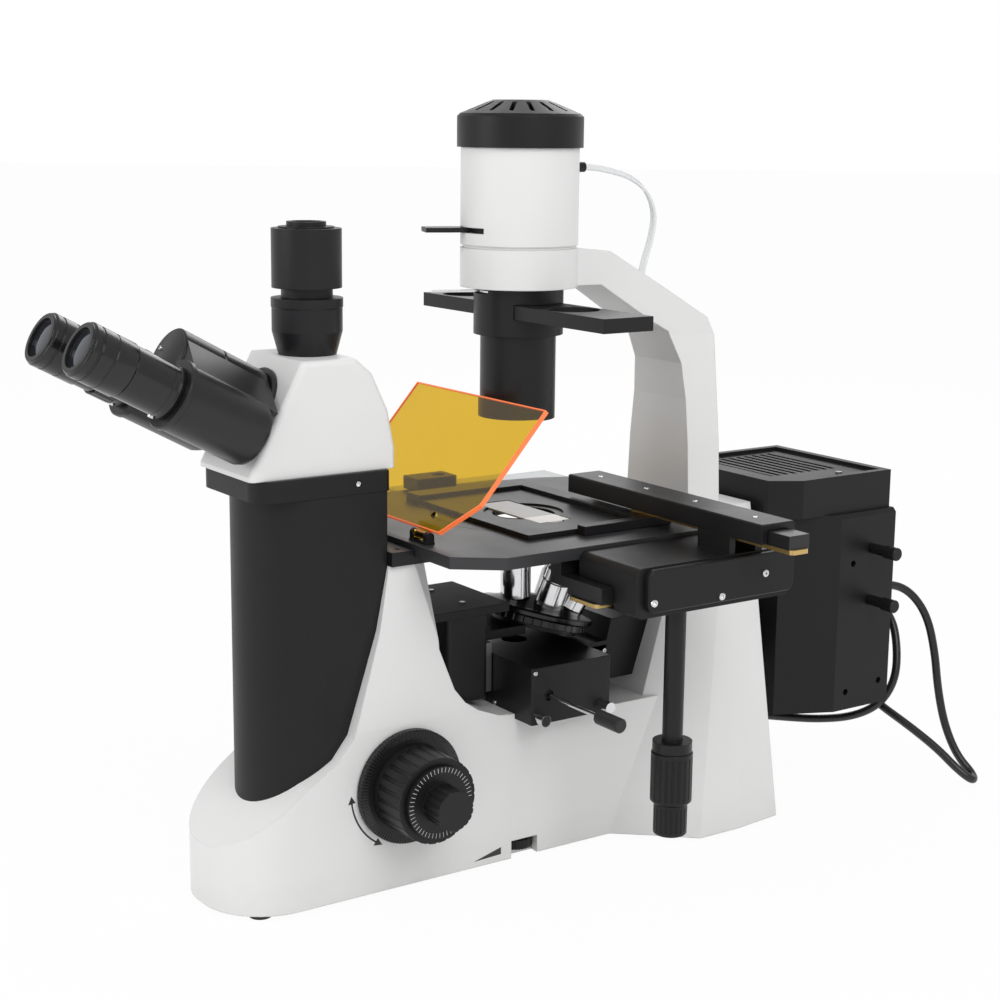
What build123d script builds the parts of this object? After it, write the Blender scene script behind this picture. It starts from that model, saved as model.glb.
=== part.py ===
from build123d import *
import os
from math import atan2, cos, degrees, pi, radians, sin, sqrt, tan

# An inverted microscope: base, binocular head, transmitted light arm, mechanical stage and
# fluorescence lamp house. Z = 0 is the bench, X = 0 the plane of symmetry, +X the user's right.
# The user sits on the -Y side, and the optical axis is the Z axis.

# General clearances
FIT = 0.05            # radial running fit of a shaft
GAP = 0.3             # clearance between separate bodies
SLIDE_GAP = 0.2       # clearance of flat guides

# Base casting
FOOT_HEIGHT = 4.0
FOOT_RADIUS = 9.0
BASE_HALF = 50.6
BASE_FRONT = -249.0
BASE_BACK = 150.0
NOSE_RADIUS = 46.0
DECK_FRONT_Z = 110.0
DECK_BACK_Z = 101.0
DECK_BACK_Y = 49.0
PILLAR_TOP = 223.5
PILLAR_HALF_TOP = 43.0
PILLAR_BACK = -97.0
TAPER_START = 117.0
CASTING_WALL = 6.0
BASE_PLATE_THICK = 3.0
TOWER_TOP = 232.0
TOWER_BACK = 186.0
STAGE_LEDGE_Y = 98.0
STAGE_LEDGE_HALF = 30.0

# Column and head
COLUMN_RADIUS = 41.0
COLUMN_CENTRE_Y = -177.0
COLUMN_BACK = -130.3
COLUMN_TOP = 273.4
COLUMN_WALL = 4.0
PLATE_TOP = 287.0
PLATE_HALF = 41.5
PLATE_FRONT = -224.0
PLATE_BACK = -127.5
HEAD_HALF = 37.0
HEAD_BACK = -121.0
HEAD_TOP = 360.0

# Eyepiece geometry
EYE_TILT = 28.5
PIVOT_Y = -203.6
PIVOT_Z = 331.4
EYE_ARM = 36.9        # pivot axis to eyepiece axis
EYE_ANGLE = -35.6     # rest angle of that arm from the horizontal
EYE_OPEN = 12.0
EYE_CLOSE = 22.0
HOUSING_RADIUS = 22.0
HOUSING_BACK = 4.0
HOUSING_LENGTH = 66.0
KNUCKLE_RADIUS = 20.0
PIVOT_PIN_RADIUS = 6.0
PIVOT_PIN_LENGTH = 58.0
HUB_RADIUS = 17.0
TUBE_RADIUS = 15.5
TUBE_LENGTH = 33.0
TUBE_END = HOUSING_BACK + HOUSING_LENGTH + TUBE_LENGTH
EYEPIECE_RADIUS = 16.5
EYEPIECE_LENGTH = 32.2
EYEPIECE_END = TUBE_END + EYEPIECE_LENGTH
EYEPIECE_SPIGOT = 11.6
DIOPTRE_RADIUS = 18.2
DIOPTRE_STANDOFF = 8.0
DIOPTRE_LENGTH = 14.0
DIOPTRE_START = HOUSING_BACK + HOUSING_LENGTH + DIOPTRE_STANDOFF
DIOPTRE_END = DIOPTRE_START + DIOPTRE_LENGTH

# Photo tube and camera adapter
PHOTO_Y = -165.2
PHOTO_RADIUS = 22.75
PHOTO_NECK_RADIUS = 18.75
PHOTO_TOP = 396.3
ADAPTER_NECK_RADIUS = 16.6
ADAPTER_RADIUS = 22.55
ADAPTER_SLEEVE_START = 402.7
ADAPTER_SLEEVE_END = 440.3
ADAPTER_FLANGE_RADIUS = 18.0
ADAPTER_FLANGE_END = 441.4
THREAD_RADIUS = 12.7
THREAD_END = 444.5
ADAPTER_BORE = 10.0
ADAPTER_SPIGOT = 15.0
ADAPTER_SPIGOT_LENGTH = 14.0

# Lamp arm and transmitted light lamp
ARM_RING_RADIUS = 40.5
ARM_RING_BOTTOM = 396.7
ARM_RING_TOP = 423.3
ARM_BACK = 157.0
LAMP_RADIUS = 40.4
LAMP_WALL = 3.0
LAMP_BOTTOM = 425.3
LAMP_TOP = 490.6
CAP_RADIUS = 43.0
CAP_FLAT_RADIUS = 19.0
CAP_SKIRT = 20.4
CAP_CROWN = 11.0
CAP_EDGE_Z = LAMP_TOP + CAP_SKIRT
CAP_TOP = CAP_EDGE_Z + CAP_CROWN
CAP_WALL = 3.0
CAP_SLOT_COUNT = 16
FIELD_LEVER_Z = 433.8
FIELD_LEVER_THICK = 3.2
FIELD_LEVER_REACH = 67.0
FIELD_LEVER_ANGLE = 248.0
FIELD_LEVER_TRAVEL = 22.0
COLLECTOR_RADIUS = 29.5
BULB_RADIUS = 7.0
BULB_TOP = 480.0
BULB_LENGTH = 24.0
GLAND_RADIUS = 3.5
GLAND_END = 54.0
LEAD_Z = 477.0
LEAD_RADIUS = 2.6

# Condenser
CONDENSER_RADIUS = 31.0
CONDENSER_BOTTOM = 364.3
CONDENSER_TUBE_RADIUS = 26.2
CONDENSER_TUBE_BOTTOM = 306.0
CONDENSER_BORE = 20.0
SLIDER_BOTTOM = 376.5
SLIDER_TOP = 386.0
SLIDER_HALF = 20.0
SLIDER_LEFT = -91.0
SLIDER_RIGHT = 123.0
SLIDER_PITCH = 64.0
SLIDER_HOLE = 17.5
APERTURE_Z = 393.0
APERTURE_THICK = 1.6
APERTURE_REACH = 61.0
APERTURE_ANGLE = 250.0
APERTURE_TRAVEL = 25.0

# Stage
STAGE_TOP = 236.5
STAGE_THICK = 8.0
STAGE_HALF = 110.0
STAGE_FRONT = -112.5
STAGE_BACK = 115.0
STAGE_FRONT_CUT_X = 22.0
STAGE_FRONT_CUT_Y = 29.0
STAGE_HOLE_RADIUS = 50.0
INSERT_RADIUS = 59.0
INSERT_THICK = 3.0
INSERT_HOLE = 15.0
EXTENSION_LEFT = -144.0
EXTENSION_THICK = 4.0
EXTENSION_TOP = 232.5
BRACKET_HALF = 46.5
BRACKET_TOP = 233.0

# Specimen holder
HOLDER_LIFT = 0.3
HOLDER_TOP = 243.0
HOLDER_LEFT = -75.0
HOLDER_FRONT = -43.0
HOLDER_BACK = 59.0
HOLDER_WALL_X = 17.0
HOLDER_WALL_Y = 14.0
HOLDER_RIGHT = 76.0
INSERT_PLATE_TOP = 240.0
SLIDE_LENGTH = 76.0
SLIDE_WIDTH = 26.0
SLIDE_THICK = 1.1
SLIDE_X = 9.0
DISH_RADIUS = 28.0

# Mechanical stage
BAR_LEFT = -6.0
BAR_RIGHT = 200.0
BAR_FRONT = 50.0
BAR_BACK = 78.0
BAR_BOTTOM = 246.4
BAR_TOP = 259.2
RAIL_LEFT = 60.0
RAIL_RIGHT = 220.0
RAIL_FRONT = 55.0
RAIL_BACK = 72.0
RAIL_BOTTOM = 246.0
RAIL_TOP = 255.0
STRIP_THICK = 3.0
BOX_LEFT = 110.3
BOX_RIGHT = 170.0
COVER_THICK = 5.0
BOX_FRONT = -26.5
BOX_BACK = 103.5
BOX_BOTTOM = 201.0
BOX_TOP = 234.0
BOX_CORNER = 6.0
Y_RAIL_LEFT = 111.0
Y_RAIL_RIGHT = 147.0
Y_RAIL_BOTTOM = 207.0
Y_RAIL_TOP = 218.0
Y_RAIL_FRONT = -36.0
Y_RAIL_BACK = 108.0
SHAFT_X = 150.0
SHAFT_Y = 23.3
SHAFT_RADIUS = 6.85
SHAFT_BOTTOM = 101.0
COLLAR_RADIUS = 13.2
COLLAR_TOP = 108.0
UPPER_KNOB_RADIUS = 13.9
UPPER_KNOB_BOTTOM = 66.0
LOWER_KNOB_RADIUS = 11.25
LOWER_KNOB_BOTTOM = 43.3
OUTER_SPINDLE = 4.5
INNER_SPINDLE = 2.5

# Focus drive
FOCUS_Y = -121.0
FOCUS_Z = 75.0
COARSE_SHAFT_RADIUS = 7.0
FINE_SHAFT_RADIUS = 4.0
RING_RADIUS = 39.0
RING_START = 51.0
COARSE_START = 57.3
COARSE_END = 88.0
COARSE_RADIUS = 30.0
DIAL_RADIUS = 24.5
DIAL_THICK = 3.7
FINE_RADIUS = 13.3
FINE_END = 110.0
FLUTE_COUNT = 24
FLUTE_RADIUS = 1.6
PINION_RADIUS = 11.0
WHEEL_Y = -25.0
WHEEL_Z = 10.3
WHEEL_RADIUS = 12.0

# Nosepiece
TURRET_TILT = 16.0
TURRET_Y = 20.7
TURRET_Z = 170.0
TURRET_RADIUS = 40.0
TURRET_GRIP_RADIUS = 37.0
TURRET_BASE_RADIUS = 31.0
SEAT_HEIGHT = 1.0
OBJECTIVE_RING = 21.5
OBJECTIVE_STATIONS = 5
OBJECTIVE_RADIUS = 10.8
OBJECTIVE_TIP_Z = 224.0
FOCUS_HALF = 35.0
FOCUS_FRONT = -80.0
FOCUS_BACK = -46.0
FOCUS_BOTTOM = 117.0
FOCUS_TOP = 178.0
CARRIAGE_HALF = 22.0
CARRIAGE_DEPTH = 11.0
CARRIAGE_BOTTOM = 118.0
CARRIAGE_TOP = 153.0
FOOT_HALF = 14.0
FOOT_BOTTOM = 129.0
NOSE_ARM_BOTTOM = 155.0
NOSE_ARM_TOP = 161.5
NOSE_ARM_REACH = -6.0

# Filter block and illuminator
FILTER_LEFT = -30.0
FILTER_RIGHT = 70.0
FILTER_FRONT = -34.0
FILTER_BACK = 33.0
FILTER_BOTTOM = 105.0
FILTER_TOP = 145.3
FILTER_WALL = 5.0
ROD_Y = -20.0
ROD_Z = 125.0
ROD_RADIUS = 1.6
ROD_END = 127.0
ROD_KNOB_END = 150.0
ROD_KNOB_RADIUS = 5.0
ROD_TRAVEL = 40.0
ILLUMINATOR_HALF = 27.0
ILLUMINATOR_BOTTOM = 108.0
ILLUMINATOR_TOP = 141.0
ILLUMINATOR_BACK = 104.0

# Light shield
SHIELD_LEFT = -78.0
SHIELD_RIGHT = 80.0
SHIELD_LENGTH = 104.0
SHIELD_THICK = 3.0
SHIELD_TILT = 48.5
SHIELD_Y = -100.0
SHIELD_Z = 243.5
SHIELD_CUT = 22.0
CLAMP_X = 41.0
CLAMP_PIN_RADIUS = 1.5
CLAMP_BARREL = 3.0
CLAMP_DROP = 4.2

# Rear lamp house
HOUSE_HALF = 70.0
HOUSE_FRONT = 206.0
HOUSE_BACK = 307.0
HOUSE_BOTTOM = 66.0
HOUSE_SHOULDER = 220.0
HOUSE_TOP = 249.0
HOUSE_UPPER_HALF = 64.0
HOUSE_UPPER_FRONT = 192.0
HOUSE_UPPER_BACK = 305.5
HOUSE_CORNER_X = 20.0
HOUSE_CORNER_Y = 44.0
LOUVRE_COUNT = 9
ADAPTER_TUBE_RADIUS = 24.0
ADAPTER_TUBE_Z = 124.5
ADAPTER_SEAT_Y = 181.0
CENTERING_RADIUS = 5.0
CENTERING_LENGTH = 27.0
CENTERING_Y = 283.0
CENTERING_Z = (191.0, 150.5)
CABLE_RADIUS = 3.25
SOCKET_Y = 173.0


def save(builder, name):
    """Label a finished piece and write it."""
    builder.part.label = name
    export_step(builder.part, f"parts/{name}.step")


os.makedirs("parts", exist_ok=True)

# The seam between the white casting and the black column, as (y, z) on the side
SEAM = [(-195, 86), (-173, 99), (-161, 114), (-155, 132), (-139, 181), (COLUMN_BACK, PILLAR_TOP)]
NOSE = [(BASE_FRONT, FOOT_HEIGHT), (BASE_FRONT, 46)]
PILLAR_REAR = [(PILLAR_BACK, PILLAR_TOP), (-94, 163), (-83, 134), (-75, 124), (-64.5, 116.7)]
DECK = [(-47, DECK_FRONT_Z), (DECK_BACK_Y, DECK_BACK_Z), (BASE_BACK, DECK_BACK_Z), (BASE_BACK, FOOT_HEIGHT)]

# Base cavity
with BuildPart() as cavity:
    with BuildSketch(Plane.XY.offset(FOOT_HEIGHT)) as cavity_plan:
        with Locations((0, (BASE_FRONT + BASE_BACK) / 2)):
            Rectangle(2 * BASE_HALF, BASE_BACK - BASE_FRONT)
        fillet(cavity_plan.vertices().group_by(Axis.Y)[0], NOSE_RADIUS)
        offset(amount=-CASTING_WALL)
    extrude(amount=DECK_FRONT_Z)
    with BuildSketch(Plane.YZ):
        with BuildLine():
            Polyline((BASE_FRONT, FOOT_HEIGHT), (BASE_FRONT, 38), (-190, 72), (-150, 90),
                     (BASE_BACK, 90), (BASE_BACK, FOOT_HEIGHT), close=True)
        make_face()
    extrude(amount=BASE_HALF, both=True, mode=Mode.INTERSECT)

# Base casting with the front pillar and the flared rear tower
TOWER_FOOT = [(BASE_HALF, 50), (70, 73), (94, 99), (94, 135), (89, 177), (0, 177)]
TOWER_HEAD = [(36, 127), (38, 140), (40, 160), (40, 174), (38, TOWER_BACK), (0, TOWER_BACK)]
with BuildPart() as base_frame:
    with BuildSketch(Plane.XY.offset(FOOT_HEIGHT)) as plan:
        with Locations((0, (BASE_FRONT + BASE_BACK) / 2)):
            Rectangle(2 * BASE_HALF, BASE_BACK - BASE_FRONT)
        fillet(plan.vertices().group_by(Axis.Y)[0], NOSE_RADIUS)
    extrude(amount=PILLAR_TOP - FOOT_HEIGHT)
    with BuildSketch(Plane.YZ):
        with BuildLine():
            Polyline(*NOSE, *SEAM, *PILLAR_REAR, *DECK, close=True)
        make_face()
    extrude(amount=BASE_HALF, both=True, mode=Mode.INTERSECT)
    with BuildSketch(Plane.XZ):
        with BuildLine():
            Polyline((-BASE_HALF, 0), (-BASE_HALF, TAPER_START), (-PILLAR_HALF_TOP, PILLAR_TOP),
                     (PILLAR_HALF_TOP, PILLAR_TOP), (BASE_HALF, TAPER_START), (BASE_HALF, 0), close=True)
        make_face()
    extrude(amount=-BASE_FRONT + BASE_BACK, both=True, mode=Mode.INTERSECT)
    # The pillar's rear corners widen into facets towards the top
    for side in (-1, 1):
        with BuildSketch(Plane.XY.offset(PILLAR_TOP + 1)):
            with BuildLine():
                Polyline((side * 30, PILLAR_BACK + 1), (side * 44.5, PILLAR_BACK - 16),
                         (side * 60, PILLAR_BACK + 1), close=True)
            make_face()
        with BuildSketch(Plane.XY.offset(160)):
            with BuildLine():
                Polyline((side * 49, -93), (side * 50, -94.5), (side * 60, -93), close=True)
            make_face()
        loft(mode=Mode.SUBTRACT)
    with BuildSketch(Plane.XY.offset(FOOT_HEIGHT)):
        with BuildLine():
            Polyline(*TOWER_FOOT, *[(-x, y) for x, y in reversed(TOWER_FOOT[:-1])], close=True)
        make_face()
    with BuildSketch(Plane.XY.offset(TOWER_TOP)):
        with BuildLine():
            Polyline(*TOWER_HEAD, *[(-x, y) for x, y in reversed(TOWER_HEAD[:-1])], close=True)
        make_face()
    loft(ruled=True)
    # Ledge that carries the rear of the stage
    with BuildSketch(Plane.YZ):
        with BuildLine():
            Polyline((STAGE_LEDGE_Y, STAGE_TOP - STAGE_THICK), (STAGE_LEDGE_Y, 218), (118, 196),
                     (140, 196), (140, STAGE_TOP - STAGE_THICK), close=True)
        make_face()
    extrude(amount=STAGE_LEDGE_HALF, both=True)
    add(cavity.part, mode=Mode.SUBTRACT)
    # Focus shaft bearings through both walls
    with BuildSketch(Plane.YZ):
        with Locations((FOCUS_Y, FOCUS_Z)):
            Circle(COARSE_SHAFT_RADIUS + FIT)
    extrude(amount=BASE_HALF + 5, both=True, mode=Mode.SUBTRACT)
    # Recess for the filter block and the illuminator
    with BuildSketch(Plane.XY.offset(FILTER_BOTTOM)):
        with Locations(((FILTER_LEFT + FILTER_RIGHT) / 2, (FILTER_FRONT + FILTER_BACK) / 2)):
            Rectangle(FILTER_RIGHT - FILTER_LEFT + 2 * GAP, FILTER_BACK - FILTER_FRONT + 2 * GAP)
    extrude(amount=FILTER_TOP - FILTER_BOTTOM, mode=Mode.SUBTRACT)
    # Light path under the objective
    with BuildSketch(Plane.XY.offset(80)):
        Circle(12)
    extrude(amount=40, mode=Mode.SUBTRACT)
    # Spot face and bore for the lamp house adapter
    with BuildSketch(Plane.XZ.offset(-ADAPTER_SEAT_Y)):
        with Locations((0, ADAPTER_TUBE_Z)):
            Circle(ADAPTER_TUBE_RADIUS + 3)
    extrude(amount=-20, mode=Mode.SUBTRACT)
    with BuildSketch(Plane.XZ.offset(-62)):
        with Locations((0, ADAPTER_TUBE_Z)):
            Circle((ILLUMINATOR_TOP - ILLUMINATOR_BOTTOM) / 2 + GAP)
    extrude(amount=-(ILLUMINATOR_BACK - 62 + GAP), mode=Mode.SUBTRACT)
    with BuildSketch(Plane.XZ.offset(-90)):
        with Locations((0, ADAPTER_TUBE_Z)):
            Circle(12)
    extrude(amount=-(ADAPTER_SEAT_Y - 90), mode=Mode.SUBTRACT)
    # Socket of the lamp house cable
    with BuildSketch(Plane.XZ.offset(-SOCKET_Y)):
        with Locations((-18, 47)):
            Circle(7)
    extrude(amount=-20, mode=Mode.SUBTRACT)
    # Window of the brightness wheel in the right wall
    with BuildSketch(Plane.YZ.offset(BASE_HALF - CASTING_WALL - 1)):
        with Locations((WHEEL_Y, WHEEL_Z)):
            Rectangle(22, 12.7)
    extrude(amount=CASTING_WALL + 2, mode=Mode.SUBTRACT)
save(base_frame, "base_frame")

# Bottom plate of the base
with BuildPart() as base_plate:
    with BuildSketch(Plane.XY.offset(FOOT_HEIGHT + GAP)) as plate_plan:
        with Locations((0, (BASE_FRONT + BASE_BACK) / 2)):
            Rectangle(2 * BASE_HALF, BASE_BACK - BASE_FRONT)
        fillet(plate_plan.vertices().group_by(Axis.Y)[0], NOSE_RADIUS)
        offset(amount=-CASTING_WALL - GAP)
    extrude(amount=BASE_PLATE_THICK)
save(base_plate, "base_plate")

# Rubber feet: four under the casting, and a centre one under the bottom plate
FEET = [(-33, -222), (33, -222), (-76, 150), (76, 150)]
with BuildPart() as rubber_feet:
    for spots, height in ((FEET, FOOT_HEIGHT), ([(0, 0)], FOOT_HEIGHT + GAP)):
        with Locations(*spots):
            Cone(FOOT_RADIUS - 1.5, FOOT_RADIUS, height, align=(Align.CENTER, Align.CENTER, Align.MIN))
save(rubber_feet, "rubber_feet")

# Black front column: a D-shaped shell that stands on the casting's seam
with BuildPart() as column_cover:
    with BuildSketch(Plane.XY.offset(40)):
        with Locations((0, COLUMN_CENTRE_Y)):
            Circle(COLUMN_RADIUS)
        with Locations((0, (COLUMN_CENTRE_Y + COLUMN_BACK) / 2)):
            Rectangle(2 * COLUMN_RADIUS, COLUMN_BACK - COLUMN_CENTRE_Y)
    extrude(amount=COLUMN_TOP - 40)
    with BuildSketch(Plane.YZ):
        with BuildLine():
            Polyline((BASE_FRONT, 46), *SEAM, (COLUMN_BACK, COLUMN_TOP), (BASE_FRONT, COLUMN_TOP), close=True)
        make_face()
    extrude(amount=COLUMN_RADIUS, both=True, mode=Mode.INTERSECT)
    with BuildSketch(Plane.XY.offset(40)):
        with Locations((0, COLUMN_CENTRE_Y)):
            Circle(COLUMN_RADIUS - COLUMN_WALL)
        with Locations((0, (COLUMN_CENTRE_Y + COLUMN_BACK) / 2)):
            Rectangle(2 * (COLUMN_RADIUS - COLUMN_WALL), COLUMN_BACK - COLUMN_CENTRE_Y - 2 * COLUMN_WALL)
    extrude(amount=COLUMN_TOP - 40, mode=Mode.SUBTRACT)
save(column_cover, "column_cover")

# Head plate on the column
with BuildPart() as head_plate:
    with BuildSketch(Plane.XY.offset(COLUMN_TOP)) as head_plan:
        with Locations((0, (PLATE_FRONT + PLATE_BACK) / 2)):
            Rectangle(2 * PLATE_HALF, PLATE_BACK - PLATE_FRONT)
        fillet(head_plan.vertices().group_by(Axis.Y)[0], 14)
        fillet(head_plan.vertices().group_by(Axis.Y)[-1], 4)
    extrude(amount=PLATE_TOP - COLUMN_TOP)
    chamfer(head_plate.faces().sort_by(Axis.Z)[-1].edges(), 0.8)
    with BuildSketch(Plane.YZ.offset(PLATE_HALF)):
        with Locations((-152, 280)):
            Circle(2.2)
    extrude(amount=-8, mode=Mode.SUBTRACT)
save(head_plate, "head_plate")

# White head with its inclined facet and the neck of the photo tube
facet_run = (HEAD_TOP - 290) * tan(radians(EYE_TILT))
facet_foot = PIVOT_Y - (PIVOT_Z - 290) * tan(radians(EYE_TILT))
with BuildPart() as head_body:
    with BuildSketch(Plane.YZ):
        with BuildLine():
            Polyline((HEAD_BACK, PLATE_TOP), (facet_foot, PLATE_TOP), (facet_foot, 290),
                     (facet_foot + facet_run, HEAD_TOP), (-150, HEAD_TOP), (-138, 350), (-126, 325),
                     (HEAD_BACK, 300), close=True)
        make_face()
    extrude(amount=HEAD_HALF, both=True)
    fillet(head_body.edges().filter_by(GeomType.LINE).filter_by(Axis.X).sort_by(Axis.Y)[-4:-1], 7)
    fillet(head_body.faces().filter_by(Axis.X).edges().filter_by(lambda e: e.center().Z > PLATE_TOP + 1), 4)
save(head_body, "head_body")

# Photo tube
with BuildPart() as photo_tube:
    with BuildSketch(Plane(origin=(0, PHOTO_Y, 0), x_dir=(1, 0, 0), z_dir=(0, -1, 0))):
        with BuildLine():
            Polyline((ADAPTER_SPIGOT + FIT, HEAD_TOP), (PHOTO_NECK_RADIUS, HEAD_TOP), (PHOTO_RADIUS, 375),
                     (PHOTO_RADIUS, PHOTO_TOP - 6.3), (PHOTO_RADIUS + 0.4, PHOTO_TOP - 5.8),
                     (PHOTO_RADIUS + 0.4, PHOTO_TOP), (ADAPTER_SPIGOT + FIT, PHOTO_TOP), close=True)
        make_face()
    revolve(axis=Axis((0, PHOTO_Y, 0), (0, 0, 1)))
save(photo_tube, "photo_tube")

# Camera adapter with its thread
with BuildPart() as c_mount_adapter:
    with BuildSketch(Plane(origin=(0, PHOTO_Y, 0), x_dir=(1, 0, 0), z_dir=(0, -1, 0))):
        with BuildLine():
            Polyline((ADAPTER_BORE, PHOTO_TOP - ADAPTER_SPIGOT_LENGTH), (ADAPTER_SPIGOT, PHOTO_TOP - ADAPTER_SPIGOT_LENGTH),
                     (ADAPTER_SPIGOT, PHOTO_TOP), (ADAPTER_NECK_RADIUS, PHOTO_TOP),
                     (ADAPTER_NECK_RADIUS, ADAPTER_SLEEVE_START), (ADAPTER_RADIUS, ADAPTER_SLEEVE_START),
                     (ADAPTER_RADIUS, ADAPTER_SLEEVE_END), (ADAPTER_FLANGE_RADIUS, ADAPTER_SLEEVE_END),
                     (ADAPTER_FLANGE_RADIUS, ADAPTER_FLANGE_END), (THREAD_RADIUS, ADAPTER_FLANGE_END),
                     (THREAD_RADIUS, THREAD_END), (ADAPTER_BORE, THREAD_END), close=True)
        make_face()
    revolve(axis=Axis((0, PHOTO_Y, 0), (0, 0, 1)))
save(c_mount_adapter, "c_mount_adapter")

# Eyepiece head, in the plane of the facet: z runs along the eyepieces
eye_plane = Plane(origin=(0, PIVOT_Y, PIVOT_Z), x_dir=(1, 0, 0),
                  z_dir=(0, -cos(radians(EYE_TILT)), sin(radians(EYE_TILT))))
housing_mid = HOUSING_BACK + HOUSING_LENGTH / 2

with BuildPart() as hinge_hub:
    with BuildSketch(eye_plane.offset(GAP)):
        Circle(HUB_RADIUS)
    extrude(amount=HOUSING_BACK - 2 * GAP)
    with BuildSketch(eye_plane.offset(GAP)):
        Circle(PIVOT_PIN_RADIUS)
    extrude(amount=PIVOT_PIN_LENGTH)
save(hinge_hub, "hinge_hub")


def eye_point(side):
    """The rest position of an eyepiece axis in the plane of the facet."""
    angle = radians(EYE_ANGLE)
    return (side * EYE_ARM * cos(angle), EYE_ARM * sin(angle))


def sector(side, radius):
    """Corners of the sector that one housing may fill without meeting the other."""
    low = radians(-90 + EYE_CLOSE + 1)
    high = radians(90 - EYE_OPEN - 1)
    return [(0, 0), (side * radius * cos(low), radius * sin(low)), (side * radius, 0),
            (side * radius * cos(high), radius * sin(high))]


def prism_housing(side, name):
    """One half of the butterfly head with its eyepiece tube."""
    x, u = eye_point(side)
    knuckle_start = housing_mid + GAP / 2 if side > 0 else HOUSING_BACK
    clear_start = HOUSING_BACK if side > 0 else housing_mid - GAP / 2
    with BuildPart() as housing:
        with BuildSketch(eye_plane.offset(HOUSING_BACK)):
            with Locations((x, u)):
                Circle(HOUSING_RADIUS)
            with BuildLine():
                reach = degrees(atan2(u, x))
                nx, nu = -sin(radians(reach)), cos(radians(reach))
                Polyline((x + nx * HOUSING_RADIUS, u + nu * HOUSING_RADIUS),
                         (nx * KNUCKLE_RADIUS, nu * KNUCKLE_RADIUS),
                         (-nx * KNUCKLE_RADIUS, -nu * KNUCKLE_RADIUS),
                         (x - nx * HOUSING_RADIUS, u - nu * HOUSING_RADIUS), close=True)
            make_face()
            with BuildLine():
                Polyline(*sector(side, 120), close=True)
            make_face(mode=Mode.INTERSECT)
        extrude(amount=HOUSING_LENGTH)
        with BuildSketch(eye_plane.offset(clear_start - 1 if side > 0 else clear_start)):
            Circle(KNUCKLE_RADIUS + GAP)
        extrude(amount=HOUSING_LENGTH / 2 + 1 + GAP / 2, mode=Mode.SUBTRACT)
        with BuildSketch(eye_plane.offset(knuckle_start)):
            Circle(KNUCKLE_RADIUS)
        extrude(amount=HOUSING_LENGTH / 2 - GAP / 2)
        with BuildSketch(eye_plane.offset(HOUSING_BACK - 1)):
            Circle(PIVOT_PIN_RADIUS + FIT)
        extrude(amount=PIVOT_PIN_LENGTH - HOUSING_BACK + 2, mode=Mode.SUBTRACT)
        with BuildSketch(eye_plane.offset(HOUSING_BACK + HOUSING_LENGTH)):
            with Locations((x, u)):
                Circle(TUBE_RADIUS)
        extrude(amount=TUBE_END - HOUSING_BACK - HOUSING_LENGTH)
        with BuildSketch(eye_plane.offset(TUBE_END - 30)):
            with Locations((x, u)):
                Circle(EYEPIECE_SPIGOT + FIT)
        extrude(amount=30, mode=Mode.SUBTRACT)
    save(housing, name)
    return housing


right_housing = prism_housing(1, "right_prism_housing")
left_housing = prism_housing(-1, "left_prism_housing")


def eyepiece(side, name):
    """A wide-field eyepiece: spigot, barrel and a recessed eye lens."""
    x, u = eye_point(side)
    with BuildPart() as ocular:
        with BuildSketch(eye_plane.offset(TUBE_END - 26)):
            with Locations((x, u)):
                Circle(EYEPIECE_SPIGOT)
        extrude(amount=26)
        with BuildSketch(eye_plane.offset(TUBE_END)):
            with Locations((x, u)):
                Circle(EYEPIECE_RADIUS)
        extrude(amount=EYEPIECE_END - TUBE_END)
        chamfer(ocular.edges().filter_by(GeomType.CIRCLE).sort_by(Axis.Z)[-1:], 0.6)
        with BuildSketch(eye_plane.offset(EYEPIECE_END - 3)):
            with Locations((x, u)):
                Circle(EYEPIECE_RADIUS - 3.5)
        extrude(amount=3, mode=Mode.SUBTRACT)
    save(ocular, name)


eyepiece(1, "right_eyepiece")
eyepiece(-1, "left_eyepiece")

# Dioptre ring on the left tube
with BuildPart() as dioptre_ring:
    with BuildSketch(eye_plane.offset(DIOPTRE_START)):
        with Locations(eye_point(-1)):
            Circle(DIOPTRE_RADIUS)
            Circle(TUBE_RADIUS + FIT, mode=Mode.SUBTRACT)
            with PolarLocations(DIOPTRE_RADIUS + 0.4, 24):
                Circle(0.9, mode=Mode.SUBTRACT)
    extrude(amount=DIOPTRE_END - DIOPTRE_START)
save(dioptre_ring, "dioptre_ring")

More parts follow.
